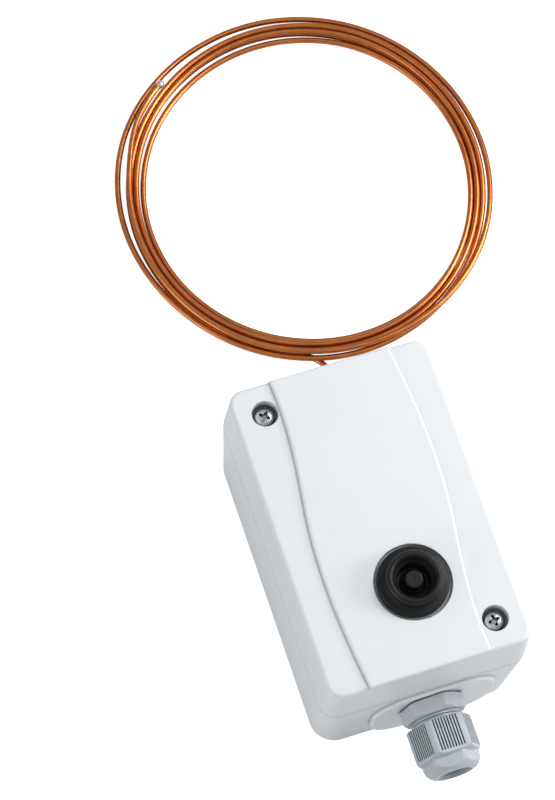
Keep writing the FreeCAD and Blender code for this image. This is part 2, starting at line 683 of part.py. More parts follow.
def coil_spring(radius, wire, turns, x, y, z0, z1):
    """A wound wire that fills the height between two seats, as a closed shell of flat facets."""
    steps = round(turns * SPRING_STEPS)
    rings = []
    for step in range(steps + 1):
        turn = turns * step / steps
        angle = 2 * math.pi * turn
        middle = z0 + wire / 2 + spring_rise(turn, turns, wire, z1 - z0)
        ring = []
        for side in range(SPRING_SIDES):
            around = 2 * math.pi * side / SPRING_SIDES
            out = radius + wire / 2 * math.cos(around)
            height = middle + wire / 2 * math.sin(around)
            ring.append(Vector(x + out * math.cos(angle), y + out * math.sin(angle), height))
        rings.append(ring)
    faces = [Part.Face(Part.makePolygon(ring + ring[:1])) for ring in (rings[0], rings[-1])]
    for ring, following in zip(rings, rings[1:]):
        for side in range(SPRING_SIDES):
            beside = (side + 1) % SPRING_SIDES
            a, b, c, d = ring[side], ring[beside], following[beside], following[side]
            faces.append(Part.Face(Part.makePolygon([a, b, c, a])))
            faces.append(Part.Face(Part.makePolygon([a, c, d, a])))
    return Part.Solid(Part.Shell(faces))


def reset_spring():
    radius = GUIDE_CUP_RADIUS - GUIDE_CUP_WALL - RESET_SPRING_WIRE - 0.5
    return coil_spring(radius, RESET_SPRING_WIRE, RESET_SPRING_TURNS, RESET_X, RESET_Y, CUP_FLOOR_TOP, SKIRT_BOTTOM)


def gland_body():
    """Threaded stub through the wall, hexagon, collar and outer thread."""
    inner_end = LOCKNUT_Y + LOCKNUT_THICKNESS + LOCKNUT_SPARE
    stub = turned_about_gland((
        (GLAND_BORE_RADIUS, inner_end), (GLAND_THREAD_RADIUS, inner_end), (GLAND_THREAD_RADIUS, HEX_Y),
        (GLAND_NECK_RADIUS, HEX_Y), (GLAND_NECK_RADIUS, NECK_Y - 0.8), (GLAND_THREAD_RADIUS, NECK_Y - 1.1),
        (GLAND_COLLAR_RADIUS, NUT_Y + GLAND_COLLAR + 0.2), (GLAND_COLLAR_RADIUS, NUT_Y + 0.2),
        (GLAND_THREAD_RADIUS, NUT_Y + 0.2), (GLAND_THREAD_RADIUS, THREAD_END),
        (cage_seat(), THREAD_END), (cage_seat(), NECK_Y), (GLAND_BORE_RADIUS, NECK_Y)))
    hexagon = hex_prism(GLAND_HEX, GLAND_HEX_TURN, NECK_Y, HEX_Y)
    chamfer = turned_about_gland((
        (0, HEX_Y), (GLAND_HEX / 2 + 1.0, HEX_Y), (GLAND_HEX / 2 + 1.0, NECK_Y + 0.8),
        (GLAND_HEX / 2 + 0.1, NECK_Y), (0, NECK_Y)))
    core = rod(GLAND_THREAD_RADIUS, Vector(GLAND_X, NECK_Y, GLAND_Z), Vector(GLAND_X, HEX_Y, GLAND_Z))
    hexagon = hexagon.common(chamfer).cut(core)
    return stub.fuse(hexagon).removeSplitter()


def cage_seat():
    return GLAND_THREAD_RADIUS - 1.2


def gland_flat_seal():
    return sleeve_y(FLAT_SEAL_RADIUS, GLAND_THREAD_RADIUS + RUNNING_GAP, GLAND_X, GLAND_Z, HEX_Y, PAD_Y)


def gland_locknut():
    nut = hex_prism(LOCKNUT_HEX, 0, LOCKNUT_Y, LOCKNUT_Y + LOCKNUT_THICKNESS)
    start = Vector(GLAND_X, LOCKNUT_Y - 1, GLAND_Z)
    bore = rod(GLAND_THREAD_RADIUS + RUNNING_GAP, start, Vector(GLAND_X, LOCKNUT_Y + LOCKNUT_THICKNESS + 1, GLAND_Z))
    return nut.cut(bore)


def dome_nose():
    """Rings of the rounded nose, from its sides to the opening."""
    points = []
    for step in range(7):
        angle = math.radians(15 * step)
        radius = NOSE_RADIUS - NOSE_ROUND * (1 - math.cos(angle))
        points.append((radius, NUT_END + NOSE_ROUND * (1 - math.sin(angle))))
    return points


def gland_dome_nut():
    """Ribbed hexagonal skirt that steps down to a smaller six-sided nose with a round end."""
    skirt_end = NUT_Y - DOME_SKIRT
    nose_start = skirt_end - DOME_STEP
    corner = DOME_HEX / math.sqrt(3)
    skirt = hex_prism(DOME_HEX, DOME_HEX_TURN, nose_start, NUT_Y).common(turned_about_gland((
        (0, NUT_Y), (corner - 0.7, NUT_Y), (corner - 0.3, NUT_Y - 0.4), (corner - 0.3, skirt_end + 0.2),
        (corner - 0.9, skirt_end - 0.5), (NOSE_HEX / 2, nose_start), (0, nose_start))))
    for side in range(6):
        skirt = skirt.cut(rib_grooves(DOME_HEX_TURN + 60 * side + 30, skirt_end))
    nose = hex_prism(NOSE_HEX, NOSE_HEX_TURN, NUT_END, skirt_end).common(turned_about_gland(
        [(0, skirt_end), (NOSE_RADIUS, skirt_end)] + dome_nose() + [(0, NUT_END)]))
    hollow = turned_about_gland((
        (0, NUT_Y + 1), (GLAND_THREAD_RADIUS + DOME_THREAD_GAP, NUT_Y + 1),
        (GLAND_THREAD_RADIUS + DOME_THREAD_GAP, THREAD_END - 0.4), (cage_seat(), THREAD_END - 2.6),
        (DOME_OPENING, NUT_END + 1.6), (DOME_OPENING, NUT_END - 1), (0, NUT_END - 1)))
    return skirt.fuse(nose).cut(hollow).removeSplitter()


def rib_grooves(angle, skirt_end):
    """The grooves between the grip ribs of one flat."""
    flat = DOME_HEX / 2
    grooves = []
    for rib in range(DOME_RIBS):
        across = (rib - (DOME_RIBS - 1) / 2) * DOME_RIB_PITCH
        half = DOME_RIB_PITCH / 4
        groove = box(flat - DOME_RIB_DEPTH, flat + 1, skirt_end + 0.4, NUT_Y + 1, across - half, across + half)
        groove.rotate(Vector(0, 0, 0), OUT_OF_GLAND, angle)
        groove.translate(Vector(GLAND_X, 0, GLAND_Z))
        grooves.append(groove)
    return Part.makeCompound(grooves)


def gland_clamping_cage():
    """The plastic sleeve whose fingers the dome nut presses inwards."""
    outer = cage_seat() - CAGE_GAP
    inner = outer - CAGE_WALL
    start = NECK_Y - 1.0
    finger_end = THREAD_END - 3.0
    cage = turned_about_gland((
        (inner, start), (outer, start), (outer, THREAD_END - 1.6), (inner + 0.45, finger_end),
        (inner, finger_end)))
    slits = []
    for finger in range(CAGE_FINGERS):
        slit = box(0, outer + 1, finger_end - 1, finger_end + 5.5, -CAGE_SLIT / 2, CAGE_SLIT / 2)
        slit.rotate(Vector(0, 0, 0), OUT_OF_GLAND, 360 / CAGE_FINGERS * (finger + 0.5))
        slit.translate(Vector(GLAND_X, 0, GLAND_Z))
        slits.append(slit)
    return cage.cut(Part.makeCompound(slits))


def gland_seal_bush():
    outer = cage_seat() - CAGE_GAP - CAGE_WALL - CAGE_GAP
    end = THREAD_END - 3.4
    return sleeve_y(outer, BUSH_RADIUS, GLAND_X, GLAND_Z, end, end + BUSH_LENGTH)


def small_screw(start, direction, shank, head_radius=M3_HEAD_RADIUS, head_height=M3_HEAD_HEIGHT, radius=M3_RADIUS):
    """A slotted cheese-head screw whose head stands on start and whose shank runs the other way."""
    head = Part.makeCylinder(head_radius, head_height, start, direction)
    head = head.makeChamfer(0.3, [head.Edges[0]])
    shaft = Part.makeCylinder(radius, shank, start - direction * shank, direction)
    across = direction.cross(Vector(0, 1, 0) if abs(direction.y) < 0.5 else UP)
    slot = Part.makeBox(2 * head_radius + 1, SLOT_WIDTH, SLOT_DEPTH + 0.5)
    slot.translate(Vector(-head_radius - 0.5, -SLOT_WIDTH / 2, 0))
    turn = FreeCAD.Rotation(across, direction.cross(across), direction, "ZXY")
    slot.Placement = FreeCAD.Placement(start + direction * (head_height - SLOT_DEPTH), turn).multiply(slot.Placement)
    return head.fuse(shaft).cut(slot)


def chassis():
    """Folded sheet: a floor plate with two upright cheeks."""
    left = CHASSIS_X - CHASSIS_HALF_WIDTH
    right = CHASSIS_X + CHASSIS_HALF_WIDTH
    sheet = box(left, right, CHASSIS_FRONT, CHASSIS_REAR, PLATE_BOTTOM, PLATE_TOP)
    outline = (
        (CHEEK_START, PLATE_BOTTOM), (CHEEK_START, PLATE_TOP + CHEEK_HEIGHT - 3),
        (CHEEK_START + 3, PLATE_TOP + CHEEK_HEIGHT), (CHEEK_STEP - 1, PLATE_TOP + CHEEK_HEIGHT),
        (CHEEK_STEP, PLATE_TOP + CHEEK_HEIGHT - 1), (CHEEK_STEP, PLATE_TOP + CHEEK_LOW),
        (CHEEK_END, PLATE_TOP + CHEEK_LOW), (CHEEK_END, PLATE_BOTTOM))
    for x in (left, right - SHEET):
        corners = [Vector(x, y, z) for y, z in outline]
        cheek = Part.Face(Part.makePolygon(corners + corners[:1])).extrude(Vector(SHEET, 0, 0))
        sheet = sheet.fuse(cheek)
    corners = [edge for edge in sheet.Edges if is_upright_end(edge)]
    sheet = sheet.makeFillet(2.0, corners)
    hole = PIVOT_RADIUS + RUNNING_GAP / 2
    sheet = sheet.cut(rod(hole, Vector(left - 1, PIVOT_Y, PIVOT_Z), Vector(right + 1, PIVOT_Y, PIVOT_Z)))
    bridge_screw_z = PLATE_TOP + BRIDGE_SCREW_RISE
    start = Vector(left - 1, CAPSULE_Y, bridge_screw_z)
    sheet = sheet.cut(rod(M3_RADIUS + M3_HOLE_GAP, start, Vector(right + 1, CAPSULE_Y, bridge_screw_z)))
    holes = list(chassis_screw_places()) + [earth_place()] + list(switch_screw_places())
    for x, y in holes:
        sheet = sheet.cut(post(M3_RADIUS + M3_HOLE_GAP, x, y, PLATE_BOTTOM - 1, PLATE_TOP + 1))
    return sheet.removeSplitter()


def is_upright_end(edge):
    low, high = edge.BoundBox.ZMin, edge.BoundBox.ZMax
    at_end = abs(edge.BoundBox.YMin - CHASSIS_FRONT) < 0.01 or abs(edge.BoundBox.YMax - CHASSIS_REAR) < 0.01
    return at_end and abs(low - PLATE_BOTTOM) < 0.01 and abs(high - PLATE_TOP) < 0.01


def chassis_screw(x, y):
    return small_screw(Vector(x, y, PLATE_TOP), UP, PLATE_TOP - BACK_RECESS - 1.4)


def earth_place():
    return (CHASSIS_X + EARTH_X, EARTH_Y)


def earth_clamp():
    x, y = earth_place()
    plate = box(x - 2.8, x + 2.8, y - 4.5, y + 4.0, PLATE_TOP, PLATE_TOP + CLAMP_THICKNESS)
    tab = box(x - 2.8, x + 2.8, y - 4.5, y - 3.5, PLATE_TOP, PLATE_TOP + CLAMP_THICKNESS + 2.5)
    return plate.fuse(tab).cut(post(M3_RADIUS + THREAD_GAP, x, y, PLATE_BOTTOM, PLATE_TOP + 9)).removeSplitter()


def earth_screw():
    x, y = earth_place()
    top = PLATE_TOP + CLAMP_THICKNESS
    return small_screw(Vector(x, y, top), UP, SHEET + CLAMP_THICKNESS + 0.5)


def lever():
    """Folded rocking lever: a flat plate with two ears on the pivot pin."""
    left = CHASSIS_X - LEVER_HALF_WIDTH
    right = CHASSIS_X + LEVER_HALF_WIDTH
    inner = LEVER_HALF_WIDTH - SHEET
    plate = box(left, right, PIVOT_Y - LEVER_EAR, PIVOT_Y + LEVER_EAR, LEVER_BOTTOM, LEVER_TOP)
    front = box(CHASSIS_X - 6, CHASSIS_X + 6, LEVER_FRONT, PIVOT_Y, LEVER_BOTTOM, LEVER_TOP)
    rear = box(CHASSIS_X - inner, CHASSIS_X + inner, PIVOT_Y, LEVER_REAR, LEVER_BOTTOM, LEVER_TOP)
    shape = plate.fuse([front, rear])
    for x in (left, right - SHEET):
        ear = box(x, x + SHEET, PIVOT_Y - LEVER_EAR, PIVOT_Y + LEVER_EAR, PIVOT_Z, LEVER_TOP)
        foot = rod(LEVER_EAR / 2, Vector(x, PIVOT_Y, PIVOT_Z), Vector(x + SHEET, PIVOT_Y, PIVOT_Z))
        cone = box(x, x + SHEET, PIVOT_Y - LEVER_EAR / 2, PIVOT_Y + LEVER_EAR / 2, PIVOT_Z - 0.1, LEVER_TOP)
        ear = ear.common(box(x, x + SHEET, -CASE_LENGTH, CASE_LENGTH, PIVOT_Z + 1.5, LEVER_TOP))
        shape = shape.fuse([ear, foot, cone])
    bore_start = Vector(left - 1, PIVOT_Y, PIVOT_Z)
    shape = shape.cut(rod(PIVOT_RADIUS + RUNNING_GAP, bore_start, Vector(right + 1, PIVOT_Y, PIVOT_Z)))
    seat = washer(SPRING_RADIUS - SPRING_WIRE / 2 - 0.3, STUD_RADIUS, CHASSIS_X, CAPSULE_Y, LEVER_TOP - 0.1, LEVER_TOP + 1)
    return shape.fuse(seat).removeSplitter()


def pivot_half_length():
    return CHASSIS_HALF_WIDTH + PIVOT_CLIP + PIVOT_END


def pivot_pin():
    half = pivot_half_length()
    pin = rod(PIVOT_RADIUS, Vector(CHASSIS_X - half, PIVOT_Y, PIVOT_Z), Vector(CHASSIS_X + half, PIVOT_Y, PIVOT_Z))
    for side in (-1, 1):
        near = CHASSIS_X + side * (CHASSIS_HALF_WIDTH + 0.1)
        far = near + side * PIVOT_CLIP
        start = Vector(min(near, far), PIVOT_Y, PIVOT_Z)
        end = Vector(max(near, far), PIVOT_Y, PIVOT_Z)
        pin = pin.cut(rod(PIVOT_RADIUS + 1, start, end).cut(rod(PIVOT_RADIUS - 0.4, start, end)))
    return pin


def pivot_clip(side):
    near = CHASSIS_X + side * (CHASSIS_HALF_WIDTH + 0.1)
    far = near + side * PIVOT_CLIP
    start = Vector(near, PIVOT_Y, PIVOT_Z)
    end = Vector(far, PIVOT_Y, PIVOT_Z)
    ring = rod(PIVOT_CLIP_RADIUS, start, end).cut(rod(PIVOT_RADIUS - 0.4, start, end))
    half = PIVOT_RADIUS - 0.4
    low = min(near, far)
    return ring.cut(box(low, low + PIVOT_CLIP, PIVOT_Y - half, PIVOT_Y + half, PIVOT_Z, PIVOT_Z + PIVOT_CLIP_RADIUS))


def capsule_cup():
    """The capsule's lower shell with the capillary's inlet."""
    bottom = PLATE_TOP
    rim = CAPSULE_RADIUS
    shell = turned((
        (0, bottom), (rim - 3, bottom), (rim - 0.6, bottom + 1.6), (rim, bottom + 2.2), (rim, DIAPHRAGM_Z),
        (rim - 1.8, DIAPHRAGM_Z), (rim - 2.4, bottom + 2.6), (rim - 3.6, bottom + CAPSULE_SHELL),
        (0, bottom + CAPSULE_SHELL)), CHASSIS_X, CAPSULE_Y)
    rim_y = CAPSULE_Y + math.sqrt(rim ** 2 - TUBE_OFFSET_X ** 2)
    start = Vector(TUBE_X, rim_y - 2.0, TUBE_Z)
    end = Vector(TUBE_X, rim_y + INLET_LENGTH, TUBE_Z)
    inlet = rod(INLET_RADIUS, start, end)
    inlet = inlet.cut(post(rim + TUBE_GAP, CHASSIS_X, CAPSULE_Y, DIAPHRAGM_Z, DIAPHRAGM_Z + CAPSULE_CUP))
    bore = rod(TUBE_RADIUS + TUBE_GAP, start + Vector(0, 1.5, 0), end)
    return shell.fuse(inlet).cut(bore).removeSplitter()


def tube_start():
    return CAPSULE_Y + math.sqrt(CAPSULE_RADIUS ** 2 - TUBE_OFFSET_X ** 2)


def wave(radius):
    """Height of the diaphragm's ring waves at a radius."""
    span = CAPSULE_RADIUS - 2.4 - STUD_FOOT_RADIUS
    share = (radius - STUD_FOOT_RADIUS) / span
    if share <= 0 or share >= 1:
        return 0.0
    return 0.35 * math.sin(share * DIAPHRAGM_WAVES * 2 * math.pi)


def capsule_diaphragm():
    """Thin ring-waved disc clamped between cup and lid."""
    radii = [CAPSULE_RADIUS]
    steps = DIAPHRAGM_WAVES * 4
    span = CAPSULE_RADIUS - 2.4 - STUD_FOOT_RADIUS
    for step in range(steps + 1):
        radii.append(STUD_FOOT_RADIUS + span * (steps - step) / steps)
    radii.append(0.0)
    lower = [(r, DIAPHRAGM_Z + wave(r)) for r in radii]
    upper = [(r, z + DIAPHRAGM) for r, z in reversed(lower)]
    return turned(lower + upper, CHASSIS_X, CAPSULE_Y)


def capsule_lid():
    """Ring that clamps the diaphragm, open in the middle for the stud."""
    foot = DIAPHRAGM_Z + DIAPHRAGM
    rim = CAPSULE_RADIUS
    return turned((
        (rim - 2.0, foot), (rim, foot), (rim, foot + 0.8), (rim - 1.2, foot + CAPSULE_LID - 0.4),
        (rim - 3.0, foot + CAPSULE_LID), (CAPSULE_OPENING, foot + CAPSULE_LID),
        (CAPSULE_OPENING, foot + CAPSULE_LID - CAPSULE_SHELL), (rim - 3.6, foot + CAPSULE_LID - CAPSULE_SHELL)),
        CHASSIS_X, CAPSULE_Y)


def capsule_stud():
    """The stud that carries the diaphragm's stroke to the lever."""
    foot = DIAPHRAGM_Z + DIAPHRAGM
    top = LEVER_BOTTOM - STUD_GAP
    return turned((
        (0, foot), (STUD_FOOT_RADIUS, foot), (STUD_FOOT_RADIUS, foot + STUD_FOOT - 0.4),
        (STUD_FOOT_RADIUS - 0.4, foot + STUD_FOOT), (STUD_RADIUS, foot + STUD_FOOT), (STUD_RADIUS, top - 0.8),
        (STUD_RADIUS - 0.3, top - 0.4), (STUD_RADIUS - 1.0, top), (0, top)), CHASSIS_X, CAPSULE_Y)


def bridge():
    """The folded strap over the lever that carries the setpoint spindle."""
    outer = CHASSIS_HALF_WIDTH - SHEET
    inner = outer - SHEET
    foot = PLATE_TOP + BRIDGE_LEG_FOOT
    block = box(CHASSIS_X - outer, CHASSIS_X + outer, BRIDGE_START, BRIDGE_END, foot, BRIDGE_TOP)
    upper_edges = []
    for edge in block.Edges:
        bounds = edge.BoundBox
        if bounds.YLength > 5 and bounds.ZMin > BRIDGE_TOP - 0.01:
            upper_edges.append(edge)
    block = block.makeFillet(2.0, upper_edges)
    opening = box(CHASSIS_X - inner, CHASSIS_X + inner, BRIDGE_START - 1, BRIDGE_END + 1, foot - 1, BRIDGE_TOP - SHEET)
    strap = block.cut(opening)
    strap = strap.cut(post(SPINDLE_RADIUS + RUNNING_GAP, CHASSIS_X, CAPSULE_Y, BRIDGE_TOP - 2 * SHEET, BRIDGE_TOP + 1))
    screw_z = PLATE_TOP + BRIDGE_SCREW_RISE
    start = Vector(CHASSIS_X - outer - 1, CAPSULE_Y, screw_z)
    return strap.cut(rod(M3_RADIUS + THREAD_GAP, start, Vector(CHASSIS_X + outer + 1, CAPSULE_Y, screw_z)))


def bridge_screw(side):
    start = Vector(CHASSIS_X + side * CHASSIS_HALF_WIDTH, CAPSULE_Y, PLATE_TOP + BRIDGE_SCREW_RISE)
    return small_screw(start, Vector(side, 0, 0), 2 * SHEET + 0.2)


def range_spring():
    return coil_spring(SPRING_RADIUS, SPRING_WIRE, SPRING_TURNS, CHASSIS_X, CAPSULE_Y, LEVER_TOP, SPRING_NUT_BOTTOM)


def spring_nut():
    """The block that rides on the spindle's thread between the bridge's legs."""
    half = CHASSIS_HALF_WIDTH - 2 * SHEET - SPRING_NUT_SIDE_GAP
    length = SPRING_NUT_LENGTH / 2
    block = box(CHASSIS_X - half, CHASSIS_X + half, CAPSULE_Y - length, CAPSULE_Y + length,
                SPRING_NUT_BOTTOM, SPRING_NUT_TOP)
    uprights = [edge for edge in block.Edges if edge.BoundBox.ZLength > 1]
    block = block.makeFillet(1.5, uprights)
    return block.cut(post(SPINDLE_RADIUS + RUNNING_GAP, CHASSIS_X, CAPSULE_Y, SPRING_NUT_BOTTOM - 1, SPRING_NUT_TOP + 1))


def setpoint_spindle():
    collar_top = BRIDGE_TOP - SHEET - RUNNING_GAP
    knob_top = BRIDGE_TOP + KNOB_BASE_GAP + KNOB_HEIGHT
    return turned((
        (0, SPINDLE_FOOT), (SPINDLE_RADIUS - 0.6, SPINDLE_FOOT), (SPINDLE_RADIUS, SPINDLE_FOOT + 0.6),
        (SPINDLE_RADIUS, collar_top - SPINDLE_COLLAR), (SPINDLE_COLLAR_RADIUS, collar_top - SPINDLE_COLLAR),
        (SPINDLE_COLLAR_RADIUS, collar_top), (SPINDLE_RADIUS, collar_top), (SPINDLE_RADIUS, knob_top - 2),
        (0, knob_top - 2)), CHASSIS_X, CAPSULE_Y)


def setpoint_knob():
    """Fluted knob with a pointer rib and a screwdriver slot."""
    foot = BRIDGE_TOP + KNOB_BASE_GAP
    top = foot + KNOB_HEIGHT
    knob = turned((
        (0, foot), (KNOB_RADIUS, foot), (KNOB_RADIUS, foot + 1.2), (KNOB_RADIUS - 1.6, foot + 1.8),
        (KNOB_RADIUS - 2.2, top - 0.6), (KNOB_RADIUS - 2.8, top), (0, top)), CHASSIS_X, CAPSULE_Y)
    flutes = []
    for flute in range(KNOB_FLUTES):
        angle = math.radians(360 / KNOB_FLUTES * flute)
        reach = KNOB_RADIUS - 1.6
        x = CHASSIS_X + reach * math.cos(angle)
        y = CAPSULE_Y + reach * math.sin(angle)
        flutes.append(post(KNOB_FLUTE_RADIUS, x, y, foot + 2.2, top + 1))
    knob = knob.cut(Part.makeCompound(flutes))
    slot = box(CHASSIS_X - 5, CHASSIS_X + 5, CAPSULE_Y - 0.8, CAPSULE_Y + 0.8, top - 1.4, top + 1)
    pointer = box(CHASSIS_X - 0.6, CHASSIS_X + 0.6, CAPSULE_Y - KNOB_RADIUS + 0.4, CAPSULE_Y - 7.5, foot + 1.0, foot + 2.0)
    knob = knob.cut(slot).fuse(pointer)
    return knob.cut(post(SPINDLE_RADIUS, CHASSIS_X, CAPSULE_Y, foot - 1, top - 2)).removeSplitter()


def switch_screw_places():
    return ((CHASSIS_X - SWITCH_SCREW_X, RESET_Y), (CHASSIS_X + SWITCH_SCREW_X, RESET_Y))


def terminal_places():
    middle = (TERMINALS - 1) / 2
    y = (SWITCH_FRONT + SWITCH_STEP) / 2 - 0.4
    return [(CHASSIS_X + (number - middle) * TERMINAL_PITCH, y) for number in range(TERMINALS)]


def switch_housing():
    """Moulded switch body with three terminal bays and the reset tower."""
    half = SWITCH_HALF_WIDTH
    body = box(CHASSIS_X - half, CHASSIS_X + half, SWITCH_FRONT, SWITCH_REAR, PLATE_TOP, SWITCH_TOP)
    uprights = [edge for edge in body.Edges if edge.BoundBox.ZLength > 5]
    body = body.makeFillet(1.0, uprights)
    seat = PLATE_TOP + TERMINAL_SEAT
    for x, _ in terminal_places():
        bay_half = TERMINAL_BAY_WIDTH / 2
        body = body.cut(box(x - bay_half, x + bay_half, SWITCH_FRONT - 1, SWITCH_STEP, seat, SWITCH_TOP + 1))
    for x, y in terminal_places():
        low = seat - TERMINAL_SCREW_DEPTH
        body = body.cut(post(TERMINAL_SCREW_RADIUS + THREAD_GAP, x, y, low, seat + 1))
    body = body.fuse(post(TOWER_RADIUS, RESET_X, RESET_Y, SWITCH_TOP - 1, SWITCH_TOP + TOWER_HEIGHT))
    body = body.fuse(post(PLUNGER_RADIUS + 1.4, CHASSIS_X, PLUNGER_Y, SWITCH_TOP - 1, SWITCH_TOP + 1.2))
    pin_floor = SWITCH_TOP - RESET_PIN_DEPTH - RESET_TRAVEL - 0.3
    body = body.cut(post(RESET_PIN_RADIUS + RUNNING_GAP, RESET_X, RESET_Y, pin_floor, SWITCH_TOP + TOWER_HEIGHT + 1))
    plunger_floor = SWITCH_TOP - PLUNGER_DEPTH - 1.5
    body = body.cut(post(PLUNGER_RADIUS + RUNNING_GAP, CHASSIS_X, PLUNGER_Y, plunger_floor, SWITCH_TOP + 2))
    for x, y in switch_screw_places():
        body = body.cut(post(M3_RADIUS + M3_HOLE_GAP, x, y, PLATE_TOP - 1, SWITCH_TOP + 1))
    return body.removeSplitter()


def switch_plunger():
    return post(PLUNGER_RADIUS, CHASSIS_X, PLUNGER_Y, SWITCH_TOP - PLUNGER_DEPTH, LEVER_BOTTOM - PLUNGER_GAP)


def reset_pin():
    return post(RESET_PIN_RADIUS, RESET_X, RESET_Y, SWITCH_TOP - RESET_PIN_DEPTH, RESET_PIN_TOP)


def switch_screw(x, y):
    return small_screw(Vector(x, y, SWITCH_TOP), UP, SWITCH_HEIGHT + SHEET + 0.5)


def terminal_clamp(x, y):
    """The bent clamping plate of one terminal."""
    foot = PLATE_TOP + TERMINAL_SEAT
    top = foot + CLAMP_THICKNESS
    half = TERMINAL_BAY_WIDTH / 2 - CLAMP_GAP
    length = CLAMP_LENGTH / 2
    plate = box(x - half, x + half, y - length, y + length, foot, top)
    lip = box(x - half, x + half, y - length, y - length + 0.8, foot, top + 1.0)
    return plate.fuse(lip).cut(post(TERMINAL_SCREW_RADIUS + THREAD_GAP, x, y, foot - 1, top + 3)).removeSplitter()


def terminal_screw(x, y):
    start = Vector(x, y, PLATE_TOP + TERMINAL_SEAT + CLAMP_THICKNESS)
    shank = CLAMP_THICKNESS + TERMINAL_SCREW_DEPTH - 0.3
    return small_screw(start, UP, shank, TERMINAL_HEAD_RADIUS, TERMINAL_HEAD_HEIGHT, TERMINAL_SCREW_RADIUS)


def grommet_outer_face():
    return CASE_LENGTH / 2 + GROMMET_FLANGE_THICKNESS + GROMMET_NOSE_LENGTH


def capillary_grommet():
    """Rubber grommet in the upper end wall."""
    outside = CASE_LENGTH / 2
    inside = outside - WALL - BACK_DRAFT
    neck = Part.makeCone(GROMMET_FLANGE, GROMMET_NOSE, GROMMET_NOSE_LENGTH,
                         Vector(TUBE_X, outside + GROMMET_FLANGE_THICKNESS, EXIT_HEIGHT), Vector(0, 1, 0))
    parts = [
        rod(GROMMET_NECK, Vector(TUBE_X, inside, EXIT_HEIGHT), Vector(TUBE_X, outside, EXIT_HEIGHT)),
        rod(GROMMET_FLANGE - 0.6, Vector(TUBE_X, inside - GROMMET_FLANGE_THICKNESS, EXIT_HEIGHT), Vector(TUBE_X, inside, EXIT_HEIGHT)),
        neck]
    flange = rod(GROMMET_FLANGE, Vector(TUBE_X, outside, EXIT_HEIGHT), Vector(TUBE_X, outside + GROMMET_FLANGE_THICKNESS, EXIT_HEIGHT))
    bore = rod(TUBE_RADIUS + TUBE_GAP, Vector(TUBE_X, inside - 5, EXIT_HEIGHT), Vector(TUBE_X, outside + 9, EXIT_HEIGHT))
    return flange.fuse(parts).cut(bore).removeSplitter()


def bent_tube(points):
    """Straight runs of tube joined by tangent arcs."""
    edges = []
    last = points[0]
    for before, corner, after in zip(points, points[1:], points[2:]):
        inward = (before - corner).normalize()
        onward = (after - corner).normalize()
        shorter = min((before - corner).Length, (after - corner).Length)
        half_turn = (math.pi - inward.getAngle(onward)) / 2
        setback = ARC_SHARE * shorter
        radius = setback / math.tan(half_turn)
        print("capillary bend radius", round(radius, 1))
        start = corner + inward * setback
        end = corner + onward * setback
        bisector = (inward + onward).normalize()
        middle = corner + bisector * (radius / math.cos(half_turn) - radius)
        edges.append(Part.LineSegment(last, start).toShape())
        edges.append(Part.Arc(start, middle, end).toShape())
        last = end
    edges.append(Part.LineSegment(last, points[-1]).toShape())
    path = Part.Wire(edges)
    section = Part.Wire(Part.makeCircle(TUBE_RADIUS, points[0], points[1] - points[0]))
    tube = path.makePipeShell([section], True, True)
    expected = math.pi * TUBE_RADIUS ** 2 * path.Length
    print("capillary volume over section times length", round(tube.Volume / expected, 4))
    return tube


def capillary_inner():
    """From the capsule's inlet down to the hole in the end wall."""
    high, low = (CASE_LENGTH / 2 - distance for distance in INNER_BENDS_TO_END)
    return bent_tube([
        Vector(TUBE_X, tube_start() - 0.5, TUBE_Z), Vector(TUBE_X, high, TUBE_Z), Vector(TUBE_X, low, EXIT_HEIGHT),
        Vector(TUBE_X, grommet_outer_face(), EXIT_HEIGHT)])


def capillary_lead():
    """From the grommet down to the coil on the table."""
    exit_y = grommet_outer_face()
    points = [Vector(TUBE_X, exit_y, EXIT_HEIGHT), Vector(TUBE_X, exit_y + LEAD_FIRST_RUN, EXIT_HEIGHT)]
    points += [Vector(*point) for point in LEAD_POINTS]
    return bent_tube(points)


def tip_axis():
    angle = math.radians(TIP_ANGLE)
    centre = Vector(COIL_X + TIP_PATH_RADIUS * math.cos(angle), COIL_Y + TIP_PATH_RADIUS * math.sin(angle), TIP_Z)
    along = Vector(-math.sin(angle), math.cos(angle), 0)
    return centre, along


def capillary_tip():
    """The sealed end of the tube, thickened with solder."""
    centre, along = tip_axis()
    half = along * (TIP_LENGTH / 2)
    tip = rod(TIP_RADIUS, centre - half, centre + half)
    return tip.makeFillet(0.5, [edge for edge in tip.Edges if len(edge.Vertexes) == 1])


def capillary_coil():
    """The outer shape of the wound tube, with room for its sealed end."""
    ring = turned((
        (COIL_INNER + COIL_EDGE_ROUND, 0), (COIL_OUTER - COIL_EDGE_ROUND, 0), (COIL_OUTER - 0.5, 0.5),
        (COIL_OUTER, COIL_EDGE_ROUND), (COIL_OUTER, COIL_HEIGHT - COIL_EDGE_ROUND),
        (COIL_OUTER - 0.5, COIL_HEIGHT - 0.5), (COIL_OUTER - COIL_EDGE_ROUND, COIL_HEIGHT),
        (COIL_INNER + COIL_EDGE_ROUND, COIL_HEIGHT), (COIL_INNER + 0.5, COIL_HEIGHT - 0.5),
        (COIL_INNER, COIL_HEIGHT - COIL_EDGE_ROUND), (COIL_INNER, COIL_EDGE_ROUND),
        (COIL_INNER + 0.5, 0.5)), COIL_X, COIL_Y)
    centre, along = tip_axis()
    half = along * (TIP_LENGTH / 2 + TIP_GAP)
    pocket = rod(TIP_RADIUS + TIP_GAP, centre - half, centre + half)
    above = rod(TIP_RADIUS + TIP_GAP, centre - half + UP * TIP_RADIUS, centre + half + UP * TIP_RADIUS)
    return ring.cut(pocket.fuse(above))


